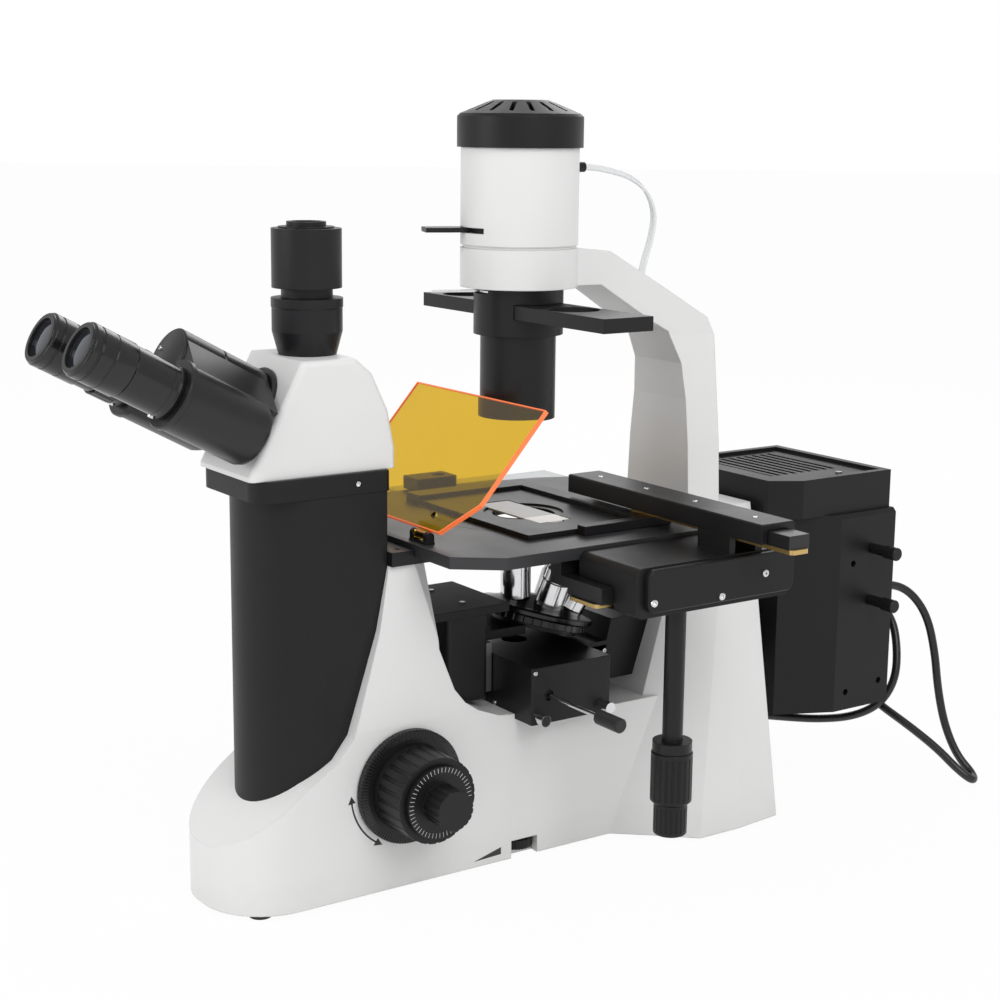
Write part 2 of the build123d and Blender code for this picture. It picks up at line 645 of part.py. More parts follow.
# Arm of the transmitted lamp: a curved post and the lamp ring
ARM_OUTER = [(35, 423), (62, 420), (ARM_BACK - 7, 370), (ARM_BACK, 357), (ARM_BACK, TOWER_TOP)]
ARM_INNER = [(127.5, TOWER_TOP), (127.5, 312), (125, 338), (114, 361.5), (100, 369), (55, 397), (35, 397)]
with BuildPart() as lamp_arm:
    with BuildSketch(Plane.YZ):
        with BuildLine():
            Polyline(*ARM_OUTER, *ARM_INNER, close=True)
        make_face()
    extrude(amount=40, both=True)
    with BuildSketch(Plane.XZ):
        with BuildLine():
            Polyline((-36, TOWER_TOP), (-33.5, 280), (-24.6, 358), (-24.6, 430), (24.6, 430), (24.6, 358),
                     (33.5, 280), (36, TOWER_TOP), close=True)
        make_face()
    extrude(amount=-200, mode=Mode.INTERSECT)
    with BuildSketch(Plane.XY.offset(TOWER_TOP)):
        with BuildLine():
            Polyline((-20, 30), (20, 30), (24.6, 110), (40, 126), (40, 170), (-40, 170), (-40, 126),
                     (-24.6, 110), close=True)
        make_face()
    extrude(amount=200, mode=Mode.INTERSECT)
    with BuildSketch(Plane.XY.offset(ARM_RING_BOTTOM)):
        Circle(ARM_RING_RADIUS)
    extrude(amount=ARM_RING_TOP - ARM_RING_BOTTOM)
    with BuildSketch(Plane.XY.offset(ARM_RING_BOTTOM)):
        Circle(COLLECTOR_RADIUS - 4)
    extrude(amount=ARM_RING_TOP - ARM_RING_BOTTOM, mode=Mode.SUBTRACT)
    with BuildSketch(Plane.XY.offset(ARM_RING_TOP - 9)):
        Circle(COLLECTOR_RADIUS + SLIDE_GAP)
    extrude(amount=9, mode=Mode.SUBTRACT)
    # Entry hole of the lamp lead
    with BuildSketch(Plane(origin=(0, 104.6, 385), x_dir=(1, 0, 0), z_dir=(0, 0.18, 0.98))):
        Circle(LEAD_RADIUS + GAP)
    extrude(amount=30, mode=Mode.SUBTRACT)
save(lamp_arm, "lamp_arm")


def polar(radius, angle, z):
    """A point around the optical axis."""
    return (radius * cos(radians(angle)), radius * sin(radians(angle)), z)


def fan(reach, middle, spread):
    """Corners of a fan-shaped cut through a round wall."""
    edges = [polar(reach, middle + spread * k / 3, 0)[:2] for k in range(-3, 4)]
    return [(0, 0)] + edges


# White lamp housing with the lever slot
with BuildPart() as lamp_housing:
    with BuildSketch(Plane.XY.offset(ARM_RING_TOP)):
        Circle(LAMP_RADIUS - 1.5)
    extrude(amount=LAMP_BOTTOM - ARM_RING_TOP)
    with BuildSketch(Plane.XY.offset(LAMP_BOTTOM)):
        Circle(LAMP_RADIUS)
    extrude(amount=LAMP_TOP - LAMP_BOTTOM)
    with BuildSketch(Plane.XY.offset(ARM_RING_TOP)):
        Circle(LAMP_RADIUS - LAMP_WALL - 1)
    extrude(amount=LAMP_TOP - ARM_RING_TOP, mode=Mode.SUBTRACT)
    with BuildSketch(Plane.XY.offset(FIELD_LEVER_Z - GAP)):
        with BuildLine():
            Polyline(*fan(LAMP_RADIUS + 12, FIELD_LEVER_ANGLE, FIELD_LEVER_TRAVEL + 19), close=True)
        make_face()
    extrude(amount=FIELD_LEVER_THICK + 2 * GAP, mode=Mode.SUBTRACT)
    with BuildSketch(Plane.XZ.offset(-LAMP_RADIUS + 6)):
        with Locations((0, LEAD_Z)):
            Circle(GLAND_RADIUS)
    extrude(amount=-8, mode=Mode.SUBTRACT)
save(lamp_housing, "lamp_housing")

# Black vented cap; its stem holds the lamp
with BuildPart() as lamp_cap:
    with BuildSketch(Plane.XZ):
        with BuildLine():
            Polyline((0, CAP_TOP), (CAP_FLAT_RADIUS, CAP_TOP), (CAP_RADIUS - 2, CAP_EDGE_Z + 2),
                     (CAP_RADIUS, CAP_EDGE_Z), (CAP_RADIUS, LAMP_TOP), (CAP_RADIUS - CAP_WALL, LAMP_TOP),
                     (CAP_RADIUS - CAP_WALL, CAP_EDGE_Z - 3), (CAP_FLAT_RADIUS, CAP_TOP - CAP_WALL - 1),
                     (BULB_RADIUS, CAP_TOP - CAP_WALL - 1), (BULB_RADIUS, BULB_TOP), (0, BULB_TOP), close=True)
        make_face()
    revolve(axis=Axis.Z)
    with BuildSketch(Plane.XY.offset(CAP_EDGE_Z - 3.5)):
        with PolarLocations(29.5, CAP_SLOT_COUNT):
            SlotOverall(15, 3)
    extrude(amount=CAP_TOP, mode=Mode.SUBTRACT)
    # Ledge that rests on the housing's wall
    with BuildSketch(Plane.XY.offset(LAMP_TOP)):
        Circle(CAP_RADIUS - CAP_WALL + 0.5)
        Circle(LAMP_RADIUS - LAMP_WALL, mode=Mode.SUBTRACT)
    extrude(amount=3)
save(lamp_cap, "lamp_cap")

# Field lever: a flat ring inside the housing with a paddle that comes out of the slot
with BuildPart() as field_lever:
    with BuildSketch(Plane.XY.offset(FIELD_LEVER_Z)):
        Circle(LAMP_RADIUS - LAMP_WALL - 1 - GAP)
        Circle(26, mode=Mode.SUBTRACT)
        with BuildLine():
            Polyline(polar(30, FIELD_LEVER_ANGLE - 20, 0)[:2], polar(52, FIELD_LEVER_ANGLE - 13, 0)[:2],
                     polar(FIELD_LEVER_REACH, FIELD_LEVER_ANGLE - 8, 0)[:2],
                     polar(FIELD_LEVER_REACH, FIELD_LEVER_ANGLE + 8, 0)[:2],
                     polar(52, FIELD_LEVER_ANGLE + 11, 0)[:2], polar(30, FIELD_LEVER_ANGLE + 14, 0)[:2], close=True)
        make_face()
    extrude(amount=FIELD_LEVER_THICK)
save(field_lever, "field_lever")

# Optics of the illumination: bulb, collector lens and condenser lens
with BuildPart() as lamp_optics:
    with BuildSketch(Plane.XY.offset(BULB_TOP - BULB_LENGTH)):
        Circle(BULB_RADIUS - 1)
    extrude(amount=BULB_LENGTH)
    with BuildSketch(Plane.XY.offset(ARM_RING_TOP - 9)):
        Circle(COLLECTOR_RADIUS)
    extrude(amount=7)
    with BuildSketch(Plane.XY.offset(CONDENSER_TUBE_BOTTOM + 3)):
        Circle(CONDENSER_BORE + 2.8)
    extrude(amount=9)
save(lamp_optics, "lamp_optics")

# Condenser body with the slider's slot and the aperture lever's pocket
with BuildPart() as condenser_body:
    with BuildSketch(Plane.XY.offset(CONDENSER_BOTTOM)):
        Circle(CONDENSER_RADIUS)
        Circle(CONDENSER_BORE, mode=Mode.SUBTRACT)
    extrude(amount=ARM_RING_BOTTOM - CONDENSER_BOTTOM)
    with BuildSketch(Plane.YZ):
        with Locations((0, (SLIDER_BOTTOM + SLIDER_TOP) / 2)):
            Rectangle(2 * (SLIDER_HALF + SLIDE_GAP), SLIDER_TOP - SLIDER_BOTTOM + 2 * SLIDE_GAP)
    extrude(amount=CONDENSER_RADIUS + 1, both=True, mode=Mode.SUBTRACT)
    with BuildSketch(Plane.XY.offset(APERTURE_Z - GAP)):
        Circle(CONDENSER_RADIUS - 3)
        with BuildLine():
            Polyline(*fan(CONDENSER_RADIUS + 9, APERTURE_ANGLE, APERTURE_TRAVEL + 8), close=True)
        make_face()
    extrude(amount=APERTURE_THICK + 2 * GAP, mode=Mode.SUBTRACT)
save(condenser_body, "condenser_body")

with BuildPart() as condenser_tube:
    with BuildSketch(Plane.XY.offset(CONDENSER_TUBE_BOTTOM)):
        Circle(CONDENSER_TUBE_RADIUS)
        Circle(CONDENSER_BORE, mode=Mode.SUBTRACT)
    extrude(amount=CONDENSER_BOTTOM - CONDENSER_TUBE_BOTTOM)
    with BuildSketch(Plane.XY.offset(CONDENSER_TUBE_BOTTOM)):
        Circle(CONDENSER_BORE + 3)
    extrude(amount=12, mode=Mode.SUBTRACT)
save(condenser_tube, "condenser_tube")

with BuildPart() as aperture_lever:
    with BuildSketch(Plane.XY.offset(APERTURE_Z)):
        Circle(CONDENSER_RADIUS - 3 - GAP)
        Circle(CONDENSER_BORE + 0.5, mode=Mode.SUBTRACT)
        with BuildLine():
            Polyline(polar(24, APERTURE_ANGLE - 4, 0)[:2], polar(APERTURE_REACH, APERTURE_ANGLE - 1.6, 0)[:2],
                     polar(APERTURE_REACH, APERTURE_ANGLE + 1.6, 0)[:2], polar(24, APERTURE_ANGLE + 4, 0)[:2],
                     close=True)
        make_face()
    extrude(amount=APERTURE_THICK)
save(aperture_lever, "aperture_lever")

# Phase slider with three stations
with BuildPart() as phase_slider:
    with BuildSketch(Plane.XY.offset(SLIDER_BOTTOM)):
        with Locations(((SLIDER_LEFT + SLIDER_RIGHT) / 2, 0)):
            Rectangle(SLIDER_RIGHT - SLIDER_LEFT, 2 * SLIDER_HALF)
        with GridLocations(SLIDER_PITCH, 1, 3, 1):
            Circle(SLIDER_HOLE, mode=Mode.SUBTRACT)
    extrude(amount=SLIDER_TOP - SLIDER_BOTTOM)
save(phase_slider, "phase_slider")

# Stage
with BuildPart() as stage_plate:
    with BuildSketch(Plane.XY.offset(STAGE_TOP - STAGE_THICK)):
        with BuildLine():
            Polyline((-STAGE_HALF, STAGE_FRONT + STAGE_FRONT_CUT_Y), (-STAGE_HALF + STAGE_FRONT_CUT_X, STAGE_FRONT),
                     (STAGE_HALF - STAGE_FRONT_CUT_X, STAGE_FRONT), (STAGE_HALF, STAGE_FRONT + STAGE_FRONT_CUT_Y),
                     (STAGE_HALF, STAGE_BACK), (-95, STAGE_BACK), (-104, 92), (-STAGE_HALF, 59), close=True)
        make_face()
        Circle(STAGE_HOLE_RADIUS, mode=Mode.SUBTRACT)
        with Locations((32, -100.5)):
            Circle(3.5, mode=Mode.SUBTRACT)
    extrude(amount=STAGE_THICK)
    with BuildSketch(Plane.XY.offset(STAGE_TOP - INSERT_THICK)):
        Circle(INSERT_RADIUS + GAP)
    extrude(amount=INSERT_THICK, mode=Mode.SUBTRACT)
save(stage_plate, "stage_plate")

with BuildPart() as stage_insert:
    with BuildSketch(Plane.XY.offset(STAGE_TOP - INSERT_THICK)):
        Circle(INSERT_RADIUS)
        Circle(INSERT_HOLE, mode=Mode.SUBTRACT)
    extrude(amount=INSERT_THICK)
save(stage_insert, "stage_insert")

with BuildPart() as stage_extension:
    with BuildSketch(Plane.XY.offset(STAGE_TOP - STAGE_THICK)):
        with BuildLine():
            Polyline((EXTENSION_LEFT, -19), (-STAGE_HALF - GAP, -19), (-STAGE_HALF - GAP, 59), (-104.3, 92),
                     (-95.3, 115.3), (-95.3, 128), (EXTENSION_LEFT, 128), close=True)
        make_face()
    extrude(amount=EXTENSION_THICK)
    with BuildSketch(Plane.XY.offset(STAGE_TOP - STAGE_THICK - 2.5)):
        with Locations((-112, 30)):
            Rectangle(50, 70)
    extrude(amount=2.5)
save(stage_extension, "stage_extension")

with BuildPart() as stage_clamp:
    with BuildSketch(Plane.XY.offset(STAGE_TOP)):
        with Locations((-107.5, -2.5)):
            RectangleRounded(21, 35, 1.5)
        with Locations((-107.5, 5)):
            Circle(5, mode=Mode.SUBTRACT)
    extrude(amount=9.5)
save(stage_clamp, "stage_clamp")

with BuildPart() as stage_bracket:
    with BuildSketch(Plane.XY.offset(PILLAR_TOP)):
        with Locations((0, (COLUMN_BACK + GAP - 98) / 2)):
            Rectangle(2 * BRACKET_HALF, -98 - COLUMN_BACK - GAP)
    extrude(amount=BRACKET_TOP - PILLAR_TOP)
    with BuildSketch(Plane.XY.offset(STAGE_TOP - STAGE_THICK)):
        with Locations((0, STAGE_FRONT + 20 - GAP)):
            Rectangle(2 * BRACKET_HALF + 2, 40)
    extrude(amount=STAGE_THICK, mode=Mode.SUBTRACT)
    with BuildSketch(Plane.XY.offset(BRACKET_TOP)):
        with Locations((-38, -121), (38, -121)):
            Circle(1.8)
    extrude(amount=-5, mode=Mode.SUBTRACT)
save(stage_bracket, "stage_bracket")

# Specimen holder: a U-shaped frame with a jog at the right, its insert plate and the glass slide
HOLDER_BOTTOM = STAGE_TOP + HOLDER_LIFT
inner_left = HOLDER_LEFT + HOLDER_WALL_X
inner_back = HOLDER_BACK - HOLDER_WALL_Y
with BuildPart() as holder_frame:
    with BuildSketch(Plane.XY.offset(HOLDER_BOTTOM)):
        with BuildLine():
            Polyline((HOLDER_LEFT, HOLDER_FRONT), (inner_left, HOLDER_FRONT), (inner_left, inner_back),
                     (HOLDER_RIGHT + GAP, inner_back), (HOLDER_RIGHT + GAP, -3), (HOLDER_RIGHT + 9, -3),
                     (HOLDER_RIGHT + 9, RAIL_BACK - 1), (RAIL_LEFT, RAIL_BACK - 1), (RAIL_LEFT, HOLDER_BACK),
                     (HOLDER_LEFT, HOLDER_BACK), close=True)
        make_face()
    extrude(amount=HOLDER_TOP - HOLDER_BOTTOM)
save(holder_frame, "holder_frame")

with BuildPart() as slide_insert:
    with BuildSketch(Plane.XY.offset(HOLDER_BOTTOM)):
        with Locations(((inner_left + HOLDER_RIGHT) / 2, (HOLDER_FRONT + inner_back) / 2)):
            Rectangle(HOLDER_RIGHT - inner_left - 2 * GAP, inner_back - HOLDER_FRONT - 2 * GAP)
        with Locations((SLIDE_X, 0)):
            Circle(DISH_RADIUS - 6, mode=Mode.SUBTRACT)
            Rectangle(SLIDE_LENGTH - 16, SLIDE_WIDTH - 6, mode=Mode.SUBTRACT)
    extrude(amount=INSERT_PLATE_TOP - HOLDER_BOTTOM)
    with BuildSketch(Plane.XY.offset(INSERT_PLATE_TOP - SLIDE_THICK - 0.3)):
        with Locations((SLIDE_X, 0)):
            Circle(DISH_RADIUS)
            Rectangle(SLIDE_LENGTH + 2 * GAP, SLIDE_WIDTH + 2 * GAP)
        with Locations((SLIDE_X + SLIDE_LENGTH / 2, 0)):
            Circle(6)
    extrude(amount=SLIDE_THICK + 0.3, mode=Mode.SUBTRACT)
save(slide_insert, "slide_insert")

with BuildPart() as glass_slide:
    with BuildSketch(Plane.XY.offset(INSERT_PLATE_TOP - SLIDE_THICK - 0.3)):
        with Locations((SLIDE_X, 0)):
            Rectangle(SLIDE_LENGTH, SLIDE_WIDTH)
    extrude(amount=SLIDE_THICK)
save(glass_slide, "glass_slide")

# X guide: a channel that lies on two cheeks of the drive box, with its rail inside
with BuildPart() as x_bar:
    with BuildSketch(Plane.YZ.offset(BAR_LEFT)):
        with Locations(((BAR_FRONT + BAR_BACK) / 2, (BAR_BOTTOM + BAR_TOP) / 2)):
            Rectangle(BAR_BACK - BAR_FRONT, BAR_TOP - BAR_BOTTOM)
        with BuildLine():
            Polyline((RAIL_FRONT - SLIDE_GAP, BAR_BOTTOM), (RAIL_FRONT - SLIDE_GAP, RAIL_TOP + SLIDE_GAP),
                     (RAIL_BACK + SLIDE_GAP, RAIL_TOP + SLIDE_GAP), (RAIL_BACK + SLIDE_GAP, BAR_BOTTOM), close=True)
        make_face(mode=Mode.SUBTRACT)
    extrude(amount=BAR_RIGHT - BAR_LEFT)
    chamfer(x_bar.faces().sort_by(Axis.Z)[-1].edges(), 0.8)
    with BuildSketch(Plane.XY.offset(BAR_TOP)):
        with Locations((14, 64), (66, 64), (118, 64), (178, 64)):
            Circle(2)
    extrude(amount=-2, mode=Mode.SUBTRACT)
save(x_bar, "x_bar")

with BuildPart() as x_rail:
    with BuildSketch(Plane.XY.offset(RAIL_BOTTOM)):
        with Locations(((RAIL_LEFT + RAIL_RIGHT) / 2, (RAIL_FRONT + RAIL_BACK) / 2)):
            Rectangle(RAIL_RIGHT - RAIL_LEFT, RAIL_BACK - RAIL_FRONT)
    extrude(amount=RAIL_TOP - RAIL_BOTTOM)
    with BuildSketch(Plane.XY.offset(HOLDER_TOP)) as strip:
        with Locations(((RAIL_LEFT + RAIL_RIGHT) / 2 + 1, (RAIL_FRONT + RAIL_BACK) / 2)):
            Rectangle(RAIL_RIGHT - RAIL_LEFT + 2, RAIL_BACK - RAIL_FRONT - 2)
        fillet(strip.vertices().group_by(Axis.X)[-1], 3)
    extrude(amount=STRIP_THICK)
save(x_rail, "x_rail")

# Drive box: a casting with a channel for the Y rail and two cheeks that carry the X bar
with BuildPart() as drive_box:
    with BuildSketch(Plane.XY.offset(BOX_BOTTOM)):
        with Locations(((BOX_LEFT + BOX_RIGHT) / 2, (BOX_FRONT + BOX_BACK) / 2)):
            Rectangle(BOX_RIGHT - BOX_LEFT, BOX_BACK - BOX_FRONT)
    extrude(amount=BOX_TOP - BOX_BOTTOM)
    fillet(drive_box.edges().filter_by(Axis.X), BOX_CORNER)
    with BuildSketch(Plane.XZ.offset(-BOX_FRONT)):
        with BuildLine():
            Polyline((BOX_LEFT, Y_RAIL_BOTTOM - STRIP_THICK - SLIDE_GAP), (BOX_LEFT, Y_RAIL_TOP + SLIDE_GAP),
                     (Y_RAIL_RIGHT + SLIDE_GAP, Y_RAIL_TOP + SLIDE_GAP),
                     (Y_RAIL_RIGHT + SLIDE_GAP, Y_RAIL_BOTTOM - STRIP_THICK - SLIDE_GAP), close=True)
        make_face()
    extrude(amount=-(BOX_BACK - BOX_FRONT), mode=Mode.SUBTRACT)
    for low, high in ((BAR_FRONT, RAIL_FRONT - SLIDE_GAP), (RAIL_BACK + SLIDE_GAP, BAR_BACK)):
        with BuildSketch(Plane.XY.offset(BOX_TOP)):
            with Locations((154, (low + high) / 2)):
                Rectangle(32, high - low)
        extrude(amount=BAR_BOTTOM - BOX_TOP)
save(drive_box, "drive_box")

with BuildPart() as drive_cover:
    with BuildSketch(Plane.YZ.offset(BOX_RIGHT)):
        with Locations(((BOX_FRONT + BOX_BACK) / 2 + 3, (BOX_BOTTOM + BOX_TOP) / 2 + 1.5)):
            RectangleRounded(BOX_BACK - BOX_FRONT - 7, BOX_TOP - BOX_BOTTOM - 5, BOX_CORNER)
    extrude(amount=COVER_THICK)
    chamfer(drive_cover.faces().sort_by(Axis.X)[-1].edges(), 0.8)
save(drive_cover, "drive_cover")

with BuildPart() as y_rail:
    with BuildSketch(Plane.XZ.offset(-Y_RAIL_FRONT)):
        with BuildLine():
            Polyline((Y_RAIL_LEFT - 19, STAGE_TOP - STAGE_THICK), (Y_RAIL_LEFT - 19, 211), (Y_RAIL_LEFT, 211),
                     (Y_RAIL_LEFT, Y_RAIL_BOTTOM), (Y_RAIL_RIGHT, Y_RAIL_BOTTOM), (Y_RAIL_RIGHT, Y_RAIL_TOP),
                     (Y_RAIL_LEFT - 8, Y_RAIL_TOP), (Y_RAIL_LEFT - 8, STAGE_TOP - STAGE_THICK), close=True)
        make_face()
    extrude(amount=-(Y_RAIL_BACK - Y_RAIL_FRONT))
    with BuildSketch(Plane.XY.offset(Y_RAIL_BOTTOM)) as strip:
        with Locations(((Y_RAIL_LEFT + Y_RAIL_RIGHT) / 2, (Y_RAIL_FRONT + Y_RAIL_BACK) / 2 - 1)):
            Rectangle(Y_RAIL_RIGHT - Y_RAIL_LEFT - 6, Y_RAIL_BACK - Y_RAIL_FRONT + 2)
        fillet(strip.vertices().group_by(Axis.Y)[0], 3)
    extrude(amount=-STRIP_THICK + 0.4)
save(y_rail, "y_rail")

# Hanging shaft with its two coaxial knobs
with BuildPart() as stage_shaft:
    with BuildSketch(Plane.XY.offset(SHAFT_BOTTOM)):
        with Locations((SHAFT_X, SHAFT_Y)):
            Circle(COLLAR_RADIUS)
            Circle(OUTER_SPINDLE + FIT, mode=Mode.SUBTRACT)
    extrude(amount=COLLAR_TOP - SHAFT_BOTTOM)
    with BuildSketch(Plane.XY.offset(COLLAR_TOP)):
        with Locations((SHAFT_X, SHAFT_Y)):
            Circle(SHAFT_RADIUS)
            Circle(OUTER_SPINDLE + FIT, mode=Mode.SUBTRACT)
    extrude(amount=BOX_BOTTOM - COLLAR_TOP)
save(stage_shaft, "stage_shaft")


def ribbed_knob(bottom, top, radius, spindle, spindle_top, bore, name):
    """A stage knob with fine ribs and its spindle, on the stage shaft's axis."""
    with BuildPart() as knob:
        with BuildSketch(Plane.XY.offset(bottom)):
            with Locations((SHAFT_X, SHAFT_Y)):
                Circle(radius)
        extrude(amount=top - bottom)
        chamfer(knob.edges().filter_by(GeomType.CIRCLE), 0.8)
        with BuildSketch(Plane.XY.offset(bottom + 3)):
            with Locations((SHAFT_X, SHAFT_Y)):
                with PolarLocations(radius + 0.3, 20):
                    Circle(0.9)
        extrude(amount=top - bottom - 6, mode=Mode.SUBTRACT)
        with BuildSketch(Plane.XY.offset(top)):
            with Locations((SHAFT_X, SHAFT_Y)):
                Circle(spindle)
        extrude(amount=spindle_top - top)
        if bore:
            with BuildSketch(Plane.XY.offset(bottom)):
                with Locations((SHAFT_X, SHAFT_Y)):
                    Circle(bore)
            extrude(amount=spindle_top - bottom, mode=Mode.SUBTRACT)
    save(knob, name)


ribbed_knob(UPPER_KNOB_BOTTOM, SHAFT_BOTTOM - GAP, UPPER_KNOB_RADIUS, OUTER_SPINDLE, BOX_BOTTOM - 2,
            INNER_SPINDLE + FIT, "y_knob")
ribbed_knob(LOWER_KNOB_BOTTOM, UPPER_KNOB_BOTTOM - GAP, LOWER_KNOB_RADIUS, INNER_SPINDLE, BOX_BOTTOM - 2, 0,
            "x_knob")

# Focus knobs: a hollow coarse shaft with a pinion, the fine shaft inside it
with BuildPart() as tension_ring:
    with BuildSketch(Plane.YZ.offset(RING_START)):
        with Locations((FOCUS_Y, FOCUS_Z)):
            Circle(RING_RADIUS)
            Circle(COARSE_SHAFT_RADIUS + FIT, mode=Mode.SUBTRACT)
    extrude(amount=COARSE_START - RING_START - GAP)
    chamfer(tension_ring.edges().filter_by(GeomType.CIRCLE).sort_by(SortBy.RADIUS)[-2:], 0.8)
save(tension_ring, "tension_ring")

with BuildPart() as coarse_knobs:
    for side in (-1, 1):
        start = COARSE_START if side > 0 else RING_START
        with BuildSketch(Plane.YZ.offset(side * start)):
            with Locations((FOCUS_Y, FOCUS_Z)):
                Circle(COARSE_RADIUS)
        extrude(amount=side * (COARSE_END - start), taper=2)
        with BuildSketch(Plane.YZ.offset(side * (COARSE_START + 4))):
            with Locations((FOCUS_Y, FOCUS_Z)):
                with PolarLocations(COARSE_RADIUS, FLUTE_COUNT):
                    Circle(FLUTE_RADIUS)
        extrude(amount=side * (COARSE_END - COARSE_START - 4), mode=Mode.SUBTRACT)
    with BuildSketch(Plane.YZ):
        with Locations((FOCUS_Y, FOCUS_Z)):
            Circle(COARSE_SHAFT_RADIUS)
    extrude(amount=COARSE_START + 1, both=True)
    with BuildSketch(Plane.YZ):
        with Locations((FOCUS_Y, FOCUS_Z)):
            Circle(PINION_RADIUS)
            with PolarLocations(PINION_RADIUS, 18):
                Circle(1.1, mode=Mode.SUBTRACT)
    extrude(amount=6, both=True)
    with BuildSketch(Plane.YZ):
        with Locations((FOCUS_Y, FOCUS_Z)):
            Circle(FINE_SHAFT_RADIUS + FIT)
    extrude(amount=COARSE_END + 1, both=True, mode=Mode.SUBTRACT)
save(coarse_knobs, "coarse_knobs")

with BuildPart() as fine_knobs:
    with BuildSketch(Plane.YZ):
        with Locations((FOCUS_Y, FOCUS_Z)):
            Circle(FINE_SHAFT_RADIUS)
    extrude(amount=COARSE_END + 2, both=True)
    for side in (-1, 1):
        with BuildSketch(Plane.YZ.offset(side * (COARSE_END + GAP))):
            with Locations((FOCUS_Y, FOCUS_Z)):
                Circle(DIAL_RADIUS)
        extrude(amount=side * DIAL_THICK)
        with BuildSketch(Plane.YZ.offset(side * (COARSE_END + GAP + DIAL_THICK))):
            with Locations((FOCUS_Y, FOCUS_Z)):
                Circle(FINE_RADIUS)
                with PolarLocations(FINE_RADIUS + 0.3, 18):
                    Circle(0.9, mode=Mode.SUBTRACT)
        extrude(amount=side * (FINE_END - COARSE_END - GAP - DIAL_THICK))
save(fine_knobs, "fine_knobs")

with BuildPart() as brightness_wheel:
    with BuildSketch(Plane.XY.offset(BASE_PLATE_THICK + FOOT_HEIGHT + 2 * GAP)):
        with Locations((BASE_HALF - WHEEL_RADIUS + 0.4, WHEEL_Y)):
            Circle(4)
    extrude(amount=1.5)
    with BuildSketch(Plane.XY.offset(BASE_PLATE_THICK + FOOT_HEIGHT + 2 * GAP + 1)):
        with Locations((BASE_HALF - WHEEL_RADIUS + 0.4, WHEEL_Y)):
            Circle(WHEEL_RADIUS)
            with PolarLocations(WHEEL_RADIUS + 0.3, 30):
                Circle(0.9, mode=Mode.SUBTRACT)
    extrude(amount=6.5)
save(brightness_wheel, "brightness_wheel")

# Nosepiece: focusing block, coarse carriage, fine arm and the inclined turret
with BuildPart() as focus_housing:
    with BuildSketch(Plane.YZ) as slab:
        with BuildLine():
            Polyline((FOCUS_FRONT, FOCUS_BOTTOM), (FOCUS_FRONT, FOCUS_TOP), (FOCUS_BACK, FOCUS_TOP),
                     (FOCUS_BACK, FOCUS_BOTTOM), close=True)
        make_face()
        fillet(slab.vertices().group_by(Axis.X)[0].sort_by(Axis.Y)[:1], 22)
    extrude(amount=FOCUS_HALF, both=True)
    fillet(focus_housing.edges().filter_by(Axis.Z), 4)
    with BuildSketch(Plane.XY.offset(FOCUS_TOP)):
        with Locations((0, (-93 - 30) / 2)):
            Rectangle(2 * FOCUS_HALF + 2, 63)
    extrude(amount=6)
save(focus_housing, "focus_housing")

carriage_front = FOCUS_BACK + GAP
with BuildPart() as focus_carriage:
    with BuildSketch(Plane.XY.offset(CARRIAGE_BOTTOM)):
        with BuildLine():
            Polyline((-CARRIAGE_HALF, carriage_front), (CARRIAGE_HALF, carriage_front),
                     (CARRIAGE_HALF, carriage_front + CARRIAGE_DEPTH), (FOOT_HALF + SLIDE_GAP, carriage_front + CARRIAGE_DEPTH),
                     (FOOT_HALF + SLIDE_GAP, carriage_front + 5), (-FOOT_HALF - SLIDE_GAP, carriage_front + 5),
                     (-FOOT_HALF - SLIDE_GAP, carriage_front + CARRIAGE_DEPTH),
                     (-CARRIAGE_HALF, carriage_front + CARRIAGE_DEPTH), close=True)
        make_face()
    extrude(amount=CARRIAGE_TOP - CARRIAGE_BOTTOM)
save(focus_carriage, "focus_carriage")

turret_plane = Plane(origin=(0, TURRET_Y, TURRET_Z), x_dir=(1, 0, 0),
                     z_dir=(0, sin(radians(TURRET_TILT)), cos(radians(TURRET_TILT))))
turret_side = Plane(origin=turret_plane.origin, x_dir=(1, 0, 0), z_dir=turret_plane.y_dir * -1)
turret_axis = Axis(turret_plane.origin, turret_plane.z_dir)
with BuildPart() as nosepiece_arm:
    with BuildSketch(Plane.XY.offset(FOOT_BOTTOM)):
        with Locations((0, carriage_front + 5 + SLIDE_GAP + 2.9)):
            Rectangle(2 * FOOT_HALF, 5.8)
    extrude(amount=NOSE_ARM_TOP - FOOT_BOTTOM)
    with BuildSketch(Plane.XY.offset(NOSE_ARM_BOTTOM)):
        with Locations((0, (carriage_front + 5 + SLIDE_GAP + NOSE_ARM_REACH) / 2)):
            Rectangle(2 * CARRIAGE_HALF, NOSE_ARM_REACH - carriage_front - 5 - SLIDE_GAP)
    extrude(amount=NOSE_ARM_TOP - NOSE_ARM_BOTTOM)
    with BuildSketch(turret_plane.offset(-17.5)):
        Circle(TURRET_BASE_RADIUS)
    extrude(amount=3.2)
    with BuildSketch(turret_plane.offset(-17.5)):
        Circle(8)
    extrude(amount=10)
    with BuildSketch(Plane.XY.offset(120)):
        Circle(9.5)
    extrude(amount=60, mode=Mode.SUBTRACT)
save(nosepiece_arm, "nosepiece_arm")

